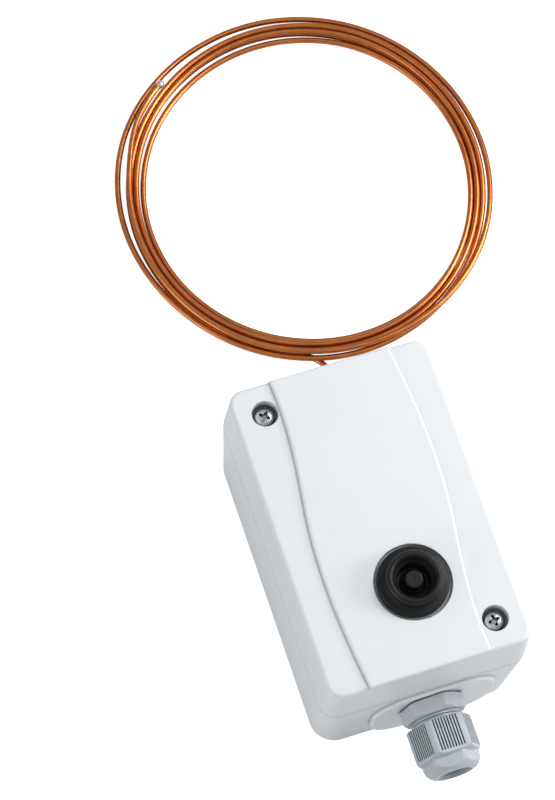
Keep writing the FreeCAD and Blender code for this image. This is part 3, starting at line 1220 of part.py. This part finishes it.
def build_case():
    save("base", base())
    save("cover", cover())
    save("cover_gasket", cover_gasket())
    for name, place, turn in zip(("upper", "lower"), cover_screw_places(), (52, 8)):
        save("cover_screw_" + name, cover_screw(place[0], place[1], turn))


def build_reset():
    save("reset_boot", reset_boot())
    save("boot_membrane", boot_membrane())
    save("reset_button", reset_button())
    save("reset_rod", reset_rod())
    save("reset_clip", reset_clip())
    save("reset_guide", reset_guide())
    save("reset_spring", reset_spring())


def build_gland():
    save("gland_body", gland_body())
    save("gland_flat_seal", gland_flat_seal())
    save("gland_locknut", gland_locknut())
    save("gland_clamping_cage", gland_clamping_cage())
    save("gland_seal_bush", gland_seal_bush())
    save("gland_dome_nut", gland_dome_nut())


def build_mechanism():
    save("chassis", chassis())
    for number, place in enumerate(chassis_screw_places(), 1):
        save("chassis_screw_" + str(number), chassis_screw(*place))
    save("earth_clamp", earth_clamp())
    save("earth_screw", earth_screw())
    save("lever", lever())
    save("pivot_pin", pivot_pin())
    save("pivot_clip_left", pivot_clip(-1))
    save("pivot_clip_right", pivot_clip(1))
    save("capsule_cup", capsule_cup())
    save("capsule_diaphragm", capsule_diaphragm())
    save("capsule_lid", capsule_lid())
    save("capsule_stud", capsule_stud())
    save("bridge", bridge())
    save("bridge_screw_left", bridge_screw(-1))
    save("bridge_screw_right", bridge_screw(1))
    save("range_spring", range_spring())
    save("spring_nut", spring_nut())
    save("setpoint_spindle", setpoint_spindle())
    save("setpoint_knob", setpoint_knob())


def build_switch():
    save("switch_housing", switch_housing())
    save("switch_plunger", switch_plunger())
    save("reset_pin", reset_pin())
    for name, place in zip(("left", "right"), switch_screw_places()):
        save("switch_screw_" + name, switch_screw(*place))
    for number, place in enumerate(terminal_places(), 1):
        save("terminal_clamp_" + str(number), terminal_clamp(*place))
        save("terminal_screw_" + str(number), terminal_screw(*place))


def build_capillary():
    save("capillary_grommet", capillary_grommet())
    save("capillary_inner", capillary_inner())
    save("capillary_lead", capillary_lead())
    save("capillary_coil", capillary_coil())
    save("capillary_tip", capillary_tip())


os.makedirs("parts", exist_ok=True)
build_case()
build_reset()
build_gland()
build_mechanism()
build_switch()
build_capillary()
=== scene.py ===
import json
import math

import bpy
from mathutils import Matrix, Vector


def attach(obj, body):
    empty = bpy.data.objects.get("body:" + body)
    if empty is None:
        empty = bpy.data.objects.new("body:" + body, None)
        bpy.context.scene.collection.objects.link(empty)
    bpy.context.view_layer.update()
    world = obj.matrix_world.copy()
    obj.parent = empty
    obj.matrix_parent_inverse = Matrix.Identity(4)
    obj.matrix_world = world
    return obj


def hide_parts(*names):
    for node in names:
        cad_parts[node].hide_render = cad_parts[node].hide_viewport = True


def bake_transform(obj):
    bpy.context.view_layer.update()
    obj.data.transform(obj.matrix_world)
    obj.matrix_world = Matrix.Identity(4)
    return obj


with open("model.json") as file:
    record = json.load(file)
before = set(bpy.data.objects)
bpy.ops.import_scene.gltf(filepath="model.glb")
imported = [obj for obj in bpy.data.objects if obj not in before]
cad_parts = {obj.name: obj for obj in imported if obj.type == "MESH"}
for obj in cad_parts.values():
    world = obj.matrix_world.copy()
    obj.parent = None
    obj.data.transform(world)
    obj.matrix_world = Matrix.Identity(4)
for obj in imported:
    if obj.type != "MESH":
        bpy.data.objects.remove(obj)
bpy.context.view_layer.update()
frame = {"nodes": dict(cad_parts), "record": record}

MM = 0.001

# The photograph's camera around the part's origin: degrees, metres, and pixels of a 555 px wide picture
AZIMUTH = -34.252
ELEVATION = 72.407
ROLL = 16.173
DISTANCE = 1.123
FOCAL_PX = 3369.45
CENTRE_OFFSET_PX = (86.34, 169.17)
PICTURE_WIDTH_PX = 555
SENSOR = 36.0
CLIP = (0.01, 20.0)

# Capillary tube: where it leaves its grommet and its way down to the table, then its turns, wound clockwise
# in steps of 30 degrees. The route gives the step, the radius and the height wherever they change, and the
# bulge says how far the coil stands out of round at each of the twelve steps of a turn
TUBE_DIAMETER = 2.0
LEAD = (
    (11.5, 57.2, 6.3), (11.5, 62.8, 6.3), (11.2, 68.6, 3.2), (9.4, 73.9, 1.15), (5.2, 77.6, 1.0),
    (0.4, 80.1, 1.0))
COIL_CENTRE = (24.0, 135.4)
COIL_FIRST_ANGLE = 236.0
COIL_STEP = 30.0
COIL_ROUTE = (
    (0, 60.0, 1.0), (9.7, 60.0, 1.0), (12, 57.95, 1.0), (21.5, 57.95, 1.0), (24, 55.5, 1.0),
    (27.5, 54.8, 1.0), (29, 55.1, 1.0), (31, 56.0, 2.0), (32, 56.8, 2.85), (34, 58.5, 3.1),
    (36, 57.7, 3.05), (39, 57.4, 3.05), (43, 58.3, 3.1), (46, 60.6, 3.0), (48, 59.8, 3.05),
    (51, 59.45, 3.0), (55, 60.4, 3.1), (56, 61.2, 2.8), (57, 61.9, 2.0), (59, 63.3, 3.4),
    (60, 62.6, 3.3), (61, 62.2, 2.5), (63, 64.4, 1.0), (66, 63.15, 1.0), (67, 63.15, 1.35),
    (69, 64.1, 4.2), (71, 61.4, 5.25), (74, 59.8, 5.1), (75, 60.1, 4.95))
COIL_BULGE = (0.0, 0.1, 0.2, 0.0, -0.1, 0.5, 1.25, 1.3, 0.85, 0.15, -0.1, -0.2)
TUBE_END = ((-17.07, 182.21, 3.3), (-12.73, 185.25, 3.3))
CURVE_ORDER = 3
CURVE_STEPS = 12
CURVE_ROUNDNESS = 7

# Drop of solder on the tube's end: its section as (radius, height), its middle and its direction
DROP_SECTION = (
    (0.0, 1.5), (0.8, 1.42), (1.2, 1.0), (1.3, 0.5), (1.25, -0.3), (1.15, -1.0), (0.75, -1.45), (0.0, -1.5))
DROP_STEPS = 32
TIP_MIDDLE = (-11.74, 185.93, 3.3)
TIP_ALONG = (0.8192, 0.5736, 0.0)

# Reset button's boot: place, then its section as (radius, height), rounded off as rubber is
RESET_PLACE = (2.8, -24.3)
BOOT_SECTION = [
    (6.4, 54.7), (7.9, 54.7), (7.9, 57.0), (7.9, 58.8), (9.5, 58.8), (11.5, 58.8), (11.6, 59.0),
    (11.6, 60.6), (11.5, 61.1), (11.1, 61.5), (10.2, 61.65), (9.5, 61.75), (9.0, 62.1), (8.85, 62.8),
    (9.0, 63.6), (9.05, 64.5), (8.85, 65.2), (8.3, 65.75), (7.6, 65.85), (7.0, 65.5), (6.65, 64.8),
    (6.35, 63.9), (5.95, 63.2), (5.6, 62.75), (5.65, 62.5), (6.4, 62.45), (6.4, 61.5), (6.4, 58.0)]
BOOT_ROUNDS = 2
BOOT_STEPS = 112

# Cover screws: x, y and turn of the cross, then head and shank as (radius, height from the well's floor). The
# cross recess has its width at the middle and at its ends, and its levels as (reach, share of width, height)
SCREW_PLACES = {"cover_screw_upper": (-24.0, 43.0, 52.0), "cover_screw_lower": (24.0, -43.0, 8.0)}
WELL_FLOOR = 53.6
SCREW_PROFILE = (
    (0.0, 2.75), (1.3, 2.72), (2.1, 2.58), (2.75, 2.25), (3.15, 1.8), (3.35, 1.25), (3.35, 0.15), (3.25, 0.0),
    (2.0, 0.0), (2.0, -23.0), (0.9, -25.9), (0.0, -26.0))
SCREW_STEPS = 64
SCREW_SHARP_EDGE = 35.0
RECESS_WIDTH = (1.5, 0.95)
RECESS_LEVELS = ((2.2, 1.0, 3.4), (1.364, 0.7, 0.9))

# Springs: axis, mean radius, wire, turns, foot and top. The range spring has a still place between its ends
RESET_SPRING = {"place": RESET_PLACE, "radius": 3.6, "wire": 0.5, "turns": 5.0, "foot": 49.1, "top": 56.1}
RANGE_SPRING = {"place": (2.8, 20.0), "radius": 5.2, "wire": 1.0, "turns": 4.5, "foot": 27.9, "top": 37.4}
RANGE_SPLIT_TURN = 1.754
SPRING_SIDES = 12
SPRING_STEPS = 36
SPRING_CLEARANCE = 0.03
SPRING_CLOSE_PITCH = 1.1

# Finishes: darker and lighter colour, least and most roughness, grain as (scale, depth in mm), and where it
# matters the scale of the colour's patches, the softened edges' radius in mm, the shade painted into
# crevices as (reach in mm, shade), and a stretch of the pattern
FINISHES = {
    "case_plastic": dict(
        dark=(0.80, 0.82, 0.835), light=(0.82, 0.84, 0.855), rough=(0.34, 0.42), grain=(5200.0, 0.006),
        bevel=0.35, coat=0.06, crevice_shade=(2.8, 0.3)),
    "gland_plastic": dict(
        dark=(0.47, 0.51, 0.54), light=(0.50, 0.54, 0.57), rough=(0.26, 0.34), grain=(4200.0, 0.005),
        bevel=0.15, crevice_shade=(0.8, 0.2)),
    "black_rubber": dict(
        dark=(0.008, 0.009, 0.009), light=(0.014, 0.015, 0.016), rough=(0.36, 0.46), grain=(3000.0, 0.01),
        bevel=0.5, specular=0.24),
    "seal_rubber": dict(
        dark=(0.16, 0.165, 0.17), light=(0.2, 0.205, 0.21), rough=(0.6, 0.75), grain=(2500.0, 0.02)),
    "bright_steel": dict(
        dark=(0.60, 0.61, 0.62), light=(0.74, 0.75, 0.76), rough=(0.2, 0.3), grain=(2500.0, 0.004),
        metallic=1.0, patches=400.0, bevel=0.12, crevice_shade=(1.6, 0.06)),
    "spring_steel": dict(
        dark=(0.33, 0.33, 0.34), light=(0.45, 0.45, 0.46), rough=(0.25, 0.4), grain=(2500.0, 0.004),
        metallic=1.0, patches=300.0),
    "plated_sheet": dict(
        dark=(0.52, 0.53, 0.52), light=(0.66, 0.66, 0.64), rough=(0.28, 0.45), grain=(900.0, 0.006),
        metallic=1.0, patches=180.0, stretch=(1, 0.15, 1), bevel=0.15),
    "brass": dict(
        dark=(0.62, 0.43, 0.16), light=(0.75, 0.55, 0.24), rough=(0.22, 0.36), grain=(1800.0, 0.005),
        metallic=1.0, patches=220.0, bevel=0.12),
    "white_plastic": dict(
        dark=(0.78, 0.78, 0.76), light=(0.82, 0.82, 0.8), rough=(0.38, 0.5), grain=(4000.0, 0.006),
        bevel=0.15),
    "red_plastic": dict(
        dark=(0.5, 0.03, 0.025), light=(0.58, 0.045, 0.035), rough=(0.35, 0.45), grain=(4000.0, 0.006),
        bevel=0.15),
    "black_plastic": dict(
        dark=(0.022, 0.022, 0.024), light=(0.032, 0.032, 0.035), rough=(0.4, 0.52), grain=(3600.0, 0.01),
        bevel=0.2),
    "copper": dict(
        dark=(0.52, 0.155, 0.038), light=(0.66, 0.22, 0.06), rough=(0.27, 0.34), grain=(1500.0, 0.001),
        metallic=1.0, patches=120.0, coat=0.2),
    "solder": dict(
        dark=(0.6, 0.6, 0.61), light=(0.74, 0.74, 0.75), rough=(0.2, 0.35), grain=(900.0, 0.03),
        metallic=1.0, patches=500.0)}
GLOSS_TO_PATCHES = 2.3
COAT_ROUGHNESS = 0.2
# Painted shade in crevices: the samples it takes and the span over which the darkening fades in
CREVICE_SHADE_SAMPLES = 8
CREVICE_SHADE_SPAN = (0.25, 0.8)
BEVEL_SAMPLES = 6

# Studio: the room's colour from its foot to its top, the table top, and lamps as (name, shares of the
# picture's right, up and back directions, distance, size, level)
ROOM_LOW = (0.22, 0.225, 0.23, 1)
ROOM_HIGH = (0.58, 0.60, 0.62, 1)
ROOM_SPAN = (0.0, 0.9)
WHITE = (1, 1, 1, 1)
FLOOR_REACH = 1.6
FLOOR_DROP = 0.0002
FLOOR_COLOUR = (0.8, 0.8, 0.8, 1)
FLOOR_ROUGHNESS = 0.9
FLOOR_GLOW = 0.86
LAMP_TARGET = Vector((0.01, 0.04, 0.02))
LAMPS = (
    ("key_lamp", (0.75, 0.7, 0.75), 0.75, 0.28, 0.47),
    ("side_lamp", (1.0, 0.1, 0.35), 0.9, 0.3, 0.34),
    ("fill_lamp", (-0.95, -0.5, 0.5), 1.2, 0.9, 0.30))


def millimetres(points):
    return [tuple(value * MM for value in point) for point in points]


def new_material(name):
    material = bpy.data.materials.new(name)
    material.use_nodes = True
    nodes = material.node_tree.nodes
    return material, nodes, material.node_tree.links, nodes["Principled BSDF"]


def object_noise(nodes, links, scale, detail, roughness, stretch):
    coordinates = nodes.new("ShaderNodeTexCoord")
    mapping = nodes.new("ShaderNodeMapping")
    mapping.inputs["Scale"].default_value = stretch
    links.new(coordinates.outputs["Object"], mapping.inputs["Vector"])
    noise = nodes.new("ShaderNodeTexNoise")
    noise.inputs["Scale"].default_value = scale
    noise.inputs["Detail"].default_value = detail
    noise.inputs["Roughness"].default_value = roughness
    links.new(mapping.outputs["Vector"], noise.inputs["Vector"])
    return noise.outputs["Fac"]


def ramp(nodes, links, source, low, high, start=0.3, end=0.7):
    made = nodes.new("ShaderNodeValToRGB")
    made.color_ramp.elements[0].position = start
    made.color_ramp.elements[1].position = end
    made.color_ramp.elements[0].color = low
    made.color_ramp.elements[1].color = high
    links.new(source, made.inputs["Fac"])
    return made.outputs["Color"]


def grey(value):
    return (value, value, value, 1.0)


# Painted shade: the base colour is darkened where other surfaces are near, as shade falls in crevices and
# recesses
def painted_crevice_shade(nodes, links, colour, reach, shade):
    hollow = nodes.new("ShaderNodeAmbientOcclusion")
    hollow.samples = CREVICE_SHADE_SAMPLES
    hollow.inputs["Distance"].default_value = reach * MM
    shading = ramp(nodes, links, hollow.outputs["AO"], grey(shade), grey(1.0), *CREVICE_SHADE_SPAN)
    both = nodes.new("ShaderNodeMixRGB")
    both.blend_type = "MULTIPLY"
    both.inputs["Fac"].default_value = 1.0
    links.new(colour, both.inputs["Color1"])
    links.new(shading, both.inputs["Color2"])
    return both.outputs["Color"]


def grained_normal(nodes, links, grain, stretch, bevel):
    scale, depth = grain
    bump = nodes.new("ShaderNodeBump")
    bump.inputs["Strength"].default_value = 1.0
    bump.inputs["Distance"].default_value = depth * MM
    links.new(object_noise(nodes, links, scale, 2.0, 0.5, stretch), bump.inputs["Height"])
    if bevel:
        softened = nodes.new("ShaderNodeBevel")
        softened.samples = BEVEL_SAMPLES
        softened.inputs["Radius"].default_value = bevel * MM
        links.new(softened.outputs["Normal"], bump.inputs["Normal"])
    return bump.outputs["Normal"]


def surface(name, dark, light, rough, grain, metallic=0.0, patches=60.0, stretch=(1, 1, 1), bevel=0.0,
            coat=0.0, specular=0.5, crevice_shade=None):
    """A finish with a little variation of colour and gloss, fine grain, softened edges, and shade painted
    into its crevices.
    """
    material, nodes, links, shader = new_material(name)
    shader.inputs["Metallic"].default_value = metallic
    shader.inputs["Specular IOR Level"].default_value = specular
    if coat:
        shader.inputs["Coat Weight"].default_value = coat
        shader.inputs["Coat Roughness"].default_value = COAT_ROUGHNESS
    stain = object_noise(nodes, links, patches, 4.0, 0.6, stretch)
    colour = ramp(nodes, links, stain, dark + (1.0,), light + (1.0,))
    # Painted shade in crevices, multiplied into the base colour
    if crevice_shade:
        colour = painted_crevice_shade(nodes, links, colour, *crevice_shade)
    links.new(colour, shader.inputs["Base Color"])
    gloss = object_noise(nodes, links, patches * GLOSS_TO_PATCHES, 3.0, 0.5, stretch)
    links.new(ramp(nodes, links, gloss, grey(rough[0]), grey(rough[1])), shader.inputs["Roughness"])
    links.new(grained_normal(nodes, links, grain, stretch, bevel), shader.inputs["Normal"])
    return material


def dress_nodes(materials):
    slots = {row["node"]: row["material_slot"] for row in frame["record"]["subparts"]}
    for name, piece in frame["nodes"].items():
        material = materials[slots[name]]
        if not piece.material_slots:
            piece.data.materials.append(material)
        for entry in piece.material_slots:
            entry.material = material


def link_object(name, data):
    made = bpy.data.objects.new(name, data)
    bpy.context.collection.objects.link(made)
    return made


def tube_object(name, points, material):
    """A round tube along one smooth curve."""
    data = bpy.data.curves.new(name, "CURVE")
    data.dimensions = "3D"
    data.resolution_u = CURVE_STEPS
    data.bevel_depth = TUBE_DIAMETER * MM / 2
    data.bevel_resolution = CURVE_ROUNDNESS
    data.use_fill_caps = True
    spline = data.splines.new("NURBS")
    spline.points.add(len(points) - 1)
    for target, point in zip(spline.points, points):
        target.co = (*point, 1.0)
    spline.order_u = CURVE_ORDER
    spline.use_endpoint_u = True
    data.materials.append(material)
    return link_object(name, data)


def coil_place(step):
    """Radius and height of the route at a step, between the two places around it."""
    for (start, radius, height), (end, next_radius, next_height) in zip(COIL_ROUTE, COIL_ROUTE[1:]):
        if step <= end:
            share = (step - start) / (end - start)
            return radius + (next_radius - radius) * share, height + (next_height - height) * share


def coil_points():
    """The turns' control points. The curve runs inside them, so they stand out a little further."""
    reach = 1 / (0.75 + 0.25 * math.cos(math.radians(COIL_STEP)))
    points = []
    for step in range(COIL_ROUTE[-1][0] + 1):
        radius, height = coil_place(step)
        out = (radius + COIL_BULGE[step % len(COIL_BULGE)]) * reach
        angle = math.radians(COIL_FIRST_ANGLE - COIL_STEP * step)
        x = COIL_CENTRE[0] + out * math.cos(angle)
        y = COIL_CENTRE[1] + out * math.sin(angle)
        points.append((x, y, height))
    return points


def capillary(materials):
    points = millimetres([*LEAD, *coil_points(), *TUBE_END])
    tube = tube_object("capillary_tube", points, materials["copper"])
    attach(tube, "case")
    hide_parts("capillary_lead", "capillary_coil")


def mesh_object(name, vertices, faces, material):
    data = bpy.data.meshes.new(name)
    data.from_pydata(millimetres(vertices), [], faces)
    data.polygons.foreach_set("use_smooth", [True] * len(data.polygons))
    data.materials.append(material)
    return link_object(name, data)


def rounded(points, rounds):
    """A closed outline with its corners cut off again and again until it runs smoothly."""
    for _ in range(rounds):
        softer = []
        for (r0, z0), (r1, z1) in zip(points, points[1:] + points[:1]):
            softer.append((0.75 * r0 + 0.25 * r1, 0.75 * z0 + 0.25 * z1))
            softer.append((0.25 * r0 + 0.75 * r1, 0.25 * z0 + 0.75 * z1))
        points = softer
    return points


def turned_ring(name, section, place, steps, material):
    """A closed section turned once round an upright axis."""
    vertices, faces = [], []
    count = len(section)
    for step in range(steps):
        angle = 2 * math.pi * step / steps
        for radius, height in section:
            x = place[0] + radius * math.cos(angle)
            y = place[1] + radius * math.sin(angle)
            vertices.append((x, y, height))
        here = step * count
        ahead = (step + 1) % steps * count
        for k in range(count):
            beside = (k + 1) % count
            faces.append((here + k, ahead + k, ahead + beside, here + beside))
    return mesh_object(name, vertices, faces, material)


def solid_of_revolution(name, profile, place, steps, material):
    """A closed solid whose profile starts and ends on the axis, from the top down."""
    x, y, z = place
    vertices = [(x, y, z + profile[0][1]), (x, y, z + profile[-1][1])]
    faces = []
    rings = profile[1:-1]
    count = len(rings)
    for step in range(steps):
        angle = 2 * math.pi * step / steps
        for radius, height in rings:
            vertices.append((x + radius * math.cos(angle), y + radius * math.sin(angle), z + height))
    for step in range(steps):
        here = 2 + step * count
        ahead = 2 + (step + 1) % steps * count
        faces.append((0, here, ahead))
        for k in range(count - 1):
            faces.append((here + k, here + k + 1, ahead + k + 1, ahead + k))
        faces.append((1, ahead + count - 1, here + count - 1))
    return mesh_object(name, vertices, faces, material)


def reset_boot(materials):
    section = rounded(BOOT_SECTION, BOOT_ROUNDS)
    boot = turned_ring("boot_rubber", section, RESET_PLACE, BOOT_STEPS, materials["black_rubber"])
    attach(boot, "cover")
    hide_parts("reset_boot")


def recess_arm(place, turn, material):
    """One arm of the cross recess, a wedge that tapers downwards as the driver's tip does."""
    angle = math.radians(turn)
    along = (math.cos(angle), math.sin(angle))
    across = (-math.sin(angle), math.cos(angle))
    vertices = []
    for reach, wide, height in RECESS_LEVELS:
        for far, half in ((0.0, RECESS_WIDTH[0] / 2), (reach, wide * RECESS_WIDTH[1] / 2)):
            for side in (-1, 1):
                x = place[0] + along[0] * far + across[0] * half * side
                y = place[1] + along[1] * far + across[1] * half * side
                vertices.append((x, y, WELL_FLOOR + height))
    faces = ((0, 2, 3, 1), (4, 5, 7, 6), (0, 4, 6, 2), (1, 3, 7, 5), (2, 6, 7, 3), (0, 1, 5, 4))
    return mesh_object("recess", vertices, faces, material)


def cut_cross(screw, place, turn, material):
    bpy.context.view_layer.objects.active = screw
    for quarter in range(4):
        arm = recess_arm(place, turn + 90 * quarter, material)
        cut = screw.modifiers.new("recess", "BOOLEAN")
        cut.operation = "DIFFERENCE"
        cut.solver = "EXACT"
        cut.object = arm
        bpy.ops.object.modifier_apply(modifier=cut.name)
        bpy.data.objects.remove(arm)
    screw.data.polygons.foreach_set("use_smooth", [True] * len(screw.data.polygons))
    screw.data.set_sharp_from_angle(angle=math.radians(SCREW_SHARP_EDGE))


def cover_screws(materials):
    steel = materials["bright_steel"]
    for name, (x, y, turn) in SCREW_PLACES.items():
        screw = solid_of_revolution(name + "_steel", SCREW_PROFILE, (x, y, WELL_FLOOR), SCREW_STEPS, steel)
        cut_cross(screw, (x, y), turn, steel)
        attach(screw, name)
        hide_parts(name)


def spring_rise(spring, turn, height):
    """Height of the wire's middle after some turns: close end turns, open ones between."""
    wire, turns = spring["wire"], spring["turns"]
    close = wire * SPRING_CLOSE_PITCH
    if turn <= 1:
        return close * turn
    if turn > turns - 1:
        return height - wire - close * (turns - turn)
    return close + (height - wire - 2 * close) / (turns - 2) * (turn - 1)


def spring_piece(name, spring, first_turn, last_turn, material):
    """A stretch of a wound round wire."""
    (centre_x, centre_y), wire = spring["place"], spring["wire"]
    foot = spring["foot"] + SPRING_CLEARANCE
    height = spring["top"] - SPRING_CLEARANCE - foot
    steps = round((last_turn - first_turn) * SPRING_STEPS)
    vertices, faces = [], []
    for step in range(steps + 1):
        turn = first_turn + (last_turn - first_turn) * step / steps
        angle = 2 * math.pi * turn
        middle = foot + wire / 2 + spring_rise(spring, turn, height)
        for side in range(SPRING_SIDES):
            around = 2 * math.pi * side / SPRING_SIDES
            out = spring["radius"] + wire / 2 * math.cos(around)
            x, y = centre_x + out * math.cos(angle), centre_y + out * math.sin(angle)
            vertices.append((x, y, middle + wire / 2 * math.sin(around)))
    for step in range(steps):
        here, ahead = step * SPRING_SIDES, (step + 1) * SPRING_SIDES
        for side in range(SPRING_SIDES):
            beside = (side + 1) % SPRING_SIDES
            faces.append((here + side, here + beside, ahead + beside, ahead + side))
    faces.append(tuple(range(SPRING_SIDES)))
    faces.append(tuple(reversed(range(steps * SPRING_SIDES, (steps + 1) * SPRING_SIDES))))
    return mesh_object(name, vertices, faces, material)


def reset_wire(steel):
    spring = RESET_SPRING
    wound = spring_piece("reset_wire", spring, 0.0, spring["turns"], steel)
    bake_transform(wound)
    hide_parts("reset_spring")


def range_wires(steel):
    """Two stretches of the range spring, a lower one and an upper one, split between its ends."""
    spring = RANGE_SPRING
    lower = spring_piece("range_wire_lower", spring, 0.0, RANGE_SPLIT_TURN, steel)
    upper = spring_piece("range_wire_upper", spring, RANGE_SPLIT_TURN, spring["turns"], steel)
    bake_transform(lower)
    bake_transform(upper)
    for wound in (lower, upper):
        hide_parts("range_spring")


def sealed_tip(materials):
    """The drop of solder that closes the tube."""
    drop = solid_of_revolution("solder_drop", DROP_SECTION, (0, 0, 0), DROP_STEPS, materials["solder"])
    turn = Vector(TIP_ALONG).to_track_quat("Z", "Y").to_matrix().to_4x4()
    drop.matrix_world = Matrix.Translation(Vector(TIP_MIDDLE) * MM) @ turn
    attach(drop, "case")
    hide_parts("capillary_tip")
    return drop


def aim_camera():
    azimuth, elevation, roll = (math.radians(value) for value in (AZIMUTH, ELEVATION, ROLL))
    level = math.cos(elevation)
    back = Vector((math.sin(azimuth) * level, -math.cos(azimuth) * level, math.sin(elevation)))
    right = (-back).cross(Vector((0, 0, 1))).normalized()
    up = right.cross(-back)
    right, up = math.cos(roll) * right + math.sin(roll) * up, math.cos(roll) * up - math.sin(roll) * right
    data = bpy.data.cameras.new("camera")
    data.sensor_fit = "HORIZONTAL"
    data.sensor_width = SENSOR
    data.lens = FOCAL_PX * SENSOR / PICTURE_WIDTH_PX
    data.shift_x = -CENTRE_OFFSET_PX[0] / PICTURE_WIDTH_PX
    data.shift_y = CENTRE_OFFSET_PX[1] / PICTURE_WIDTH_PX
    data.clip_start, data.clip_end = CLIP
    camera = link_object("camera", data)
    place = Matrix((right, up, back)).transposed().to_4x4()
    place.translation = back * DISTANCE
    camera.matrix_world = place
    bpy.context.scene.camera = camera
    return right, up, back


def lights(right, up, back):
    """Round lamps. At level 1 a lamp alone shows a white surface that faces it as white."""
    for name, shares, distance, size, level in LAMPS:
        direction = right * shares[0] + up * shares[1] + back * shares[2]
        data = bpy.data.lights.new(name, "AREA")
        data.shape = "DISK"
        data.size = size
        data.energy = level * math.pi ** 2 * distance ** 2
        lamp = link_object(name, data)
        lamp.location = LAMP_TARGET + direction.normalized() * distance
        lamp.rotation_euler = direction.to_track_quat("Z", "Y").to_euler()


def studio_world():
    """A soft grey room, darker at its foot, behind a plain white backdrop."""
    world = bpy.data.worlds.new("studio")
    bpy.context.scene.world = world
    world.use_nodes = True
    nodes, links = world.node_tree.nodes, world.node_tree.links
    room = nodes["Background"]
    room.inputs["Strength"].default_value = 1.0
    coordinates = nodes.new("ShaderNodeTexCoord")
    split = nodes.new("ShaderNodeSeparateXYZ")
    links.new(coordinates.outputs["Generated"], split.inputs["Vector"])
    links.new(ramp(nodes, links, split.outputs["Z"], ROOM_LOW, ROOM_HIGH, *ROOM_SPAN), room.inputs["Color"])
    white = nodes.new("ShaderNodeBackground")
    white.inputs["Color"].default_value = WHITE
    white.inputs["Strength"].default_value = 1.0
    rays = nodes.new("ShaderNodeLightPath")
    seen = nodes.new("ShaderNodeMath")
    seen.operation = "MAXIMUM"
    links.new(rays.outputs["Is Camera Ray"], seen.inputs[0])
    links.new(rays.outputs["Is Transmission Ray"], seen.inputs[1])
    mix = nodes.new("ShaderNodeMixShader")
    links.new(seen.outputs[0], mix.inputs["Fac"])
    links.new(room.outputs[0], mix.inputs[1])
    links.new(white.outputs[0], mix.inputs[2])
    links.new(mix.outputs[0], nodes["World Output"].inputs["Surface"])


def floor_white():
    """White with a glow of its own that only the picture sees, so that a faint shadow stays."""
    material, nodes, links, shader = new_material("floor_white")
    shader.inputs["Base Color"].default_value = FLOOR_COLOUR
    shader.inputs["Roughness"].default_value = FLOOR_ROUGHNESS
    shader.inputs["Specular IOR Level"].default_value = 0.0
    glow = nodes.new("ShaderNodeEmission")
    glow.inputs["Color"].default_value = WHITE
    glow.inputs["Strength"].default_value = FLOOR_GLOW
    both = nodes.new("ShaderNodeAddShader")
    links.new(shader.outputs[0], both.inputs[0])
    links.new(glow.outputs[0], both.inputs[1])
    rays = nodes.new("ShaderNodeLightPath")
    mix = nodes.new("ShaderNodeMixShader")
    links.new(rays.outputs["Is Camera Ray"], mix.inputs["Fac"])
    links.new(shader.outputs[0], mix.inputs[1])
    links.new(both.outputs[0], mix.inputs[2])
    links.new(mix.outputs[0], nodes["Material Output"].inputs["Surface"])
    return material


def white_floor():
    """A white table top just under the part."""
    reach = FLOOR_REACH
    corners = [(-reach, -reach, 0), (reach, -reach, 0), (reach, reach, 0), (-reach, reach, 0)]
    data = bpy.data.meshes.new("floor")
    data.from_pydata(corners, [], [(0, 1, 2, 3)])
    data.materials.append(floor_white())
    floor = link_object("floor", data)
    floor.location.z = -FLOOR_DROP


right, up, back = aim_camera()
materials = {name: surface(name, **finish) for name, finish in FINISHES.items()}
dress_nodes(materials)
drop = sealed_tip(materials)
capillary(materials)
reset_boot(materials)
cover_screws(materials)
reset_wire(materials["spring_steel"])
range_wires(materials["spring_steel"])
studio_world()
white_floor()
lights(right, up, back)

scene = bpy.context.scene
scene.view_settings.view_transform = "Standard"
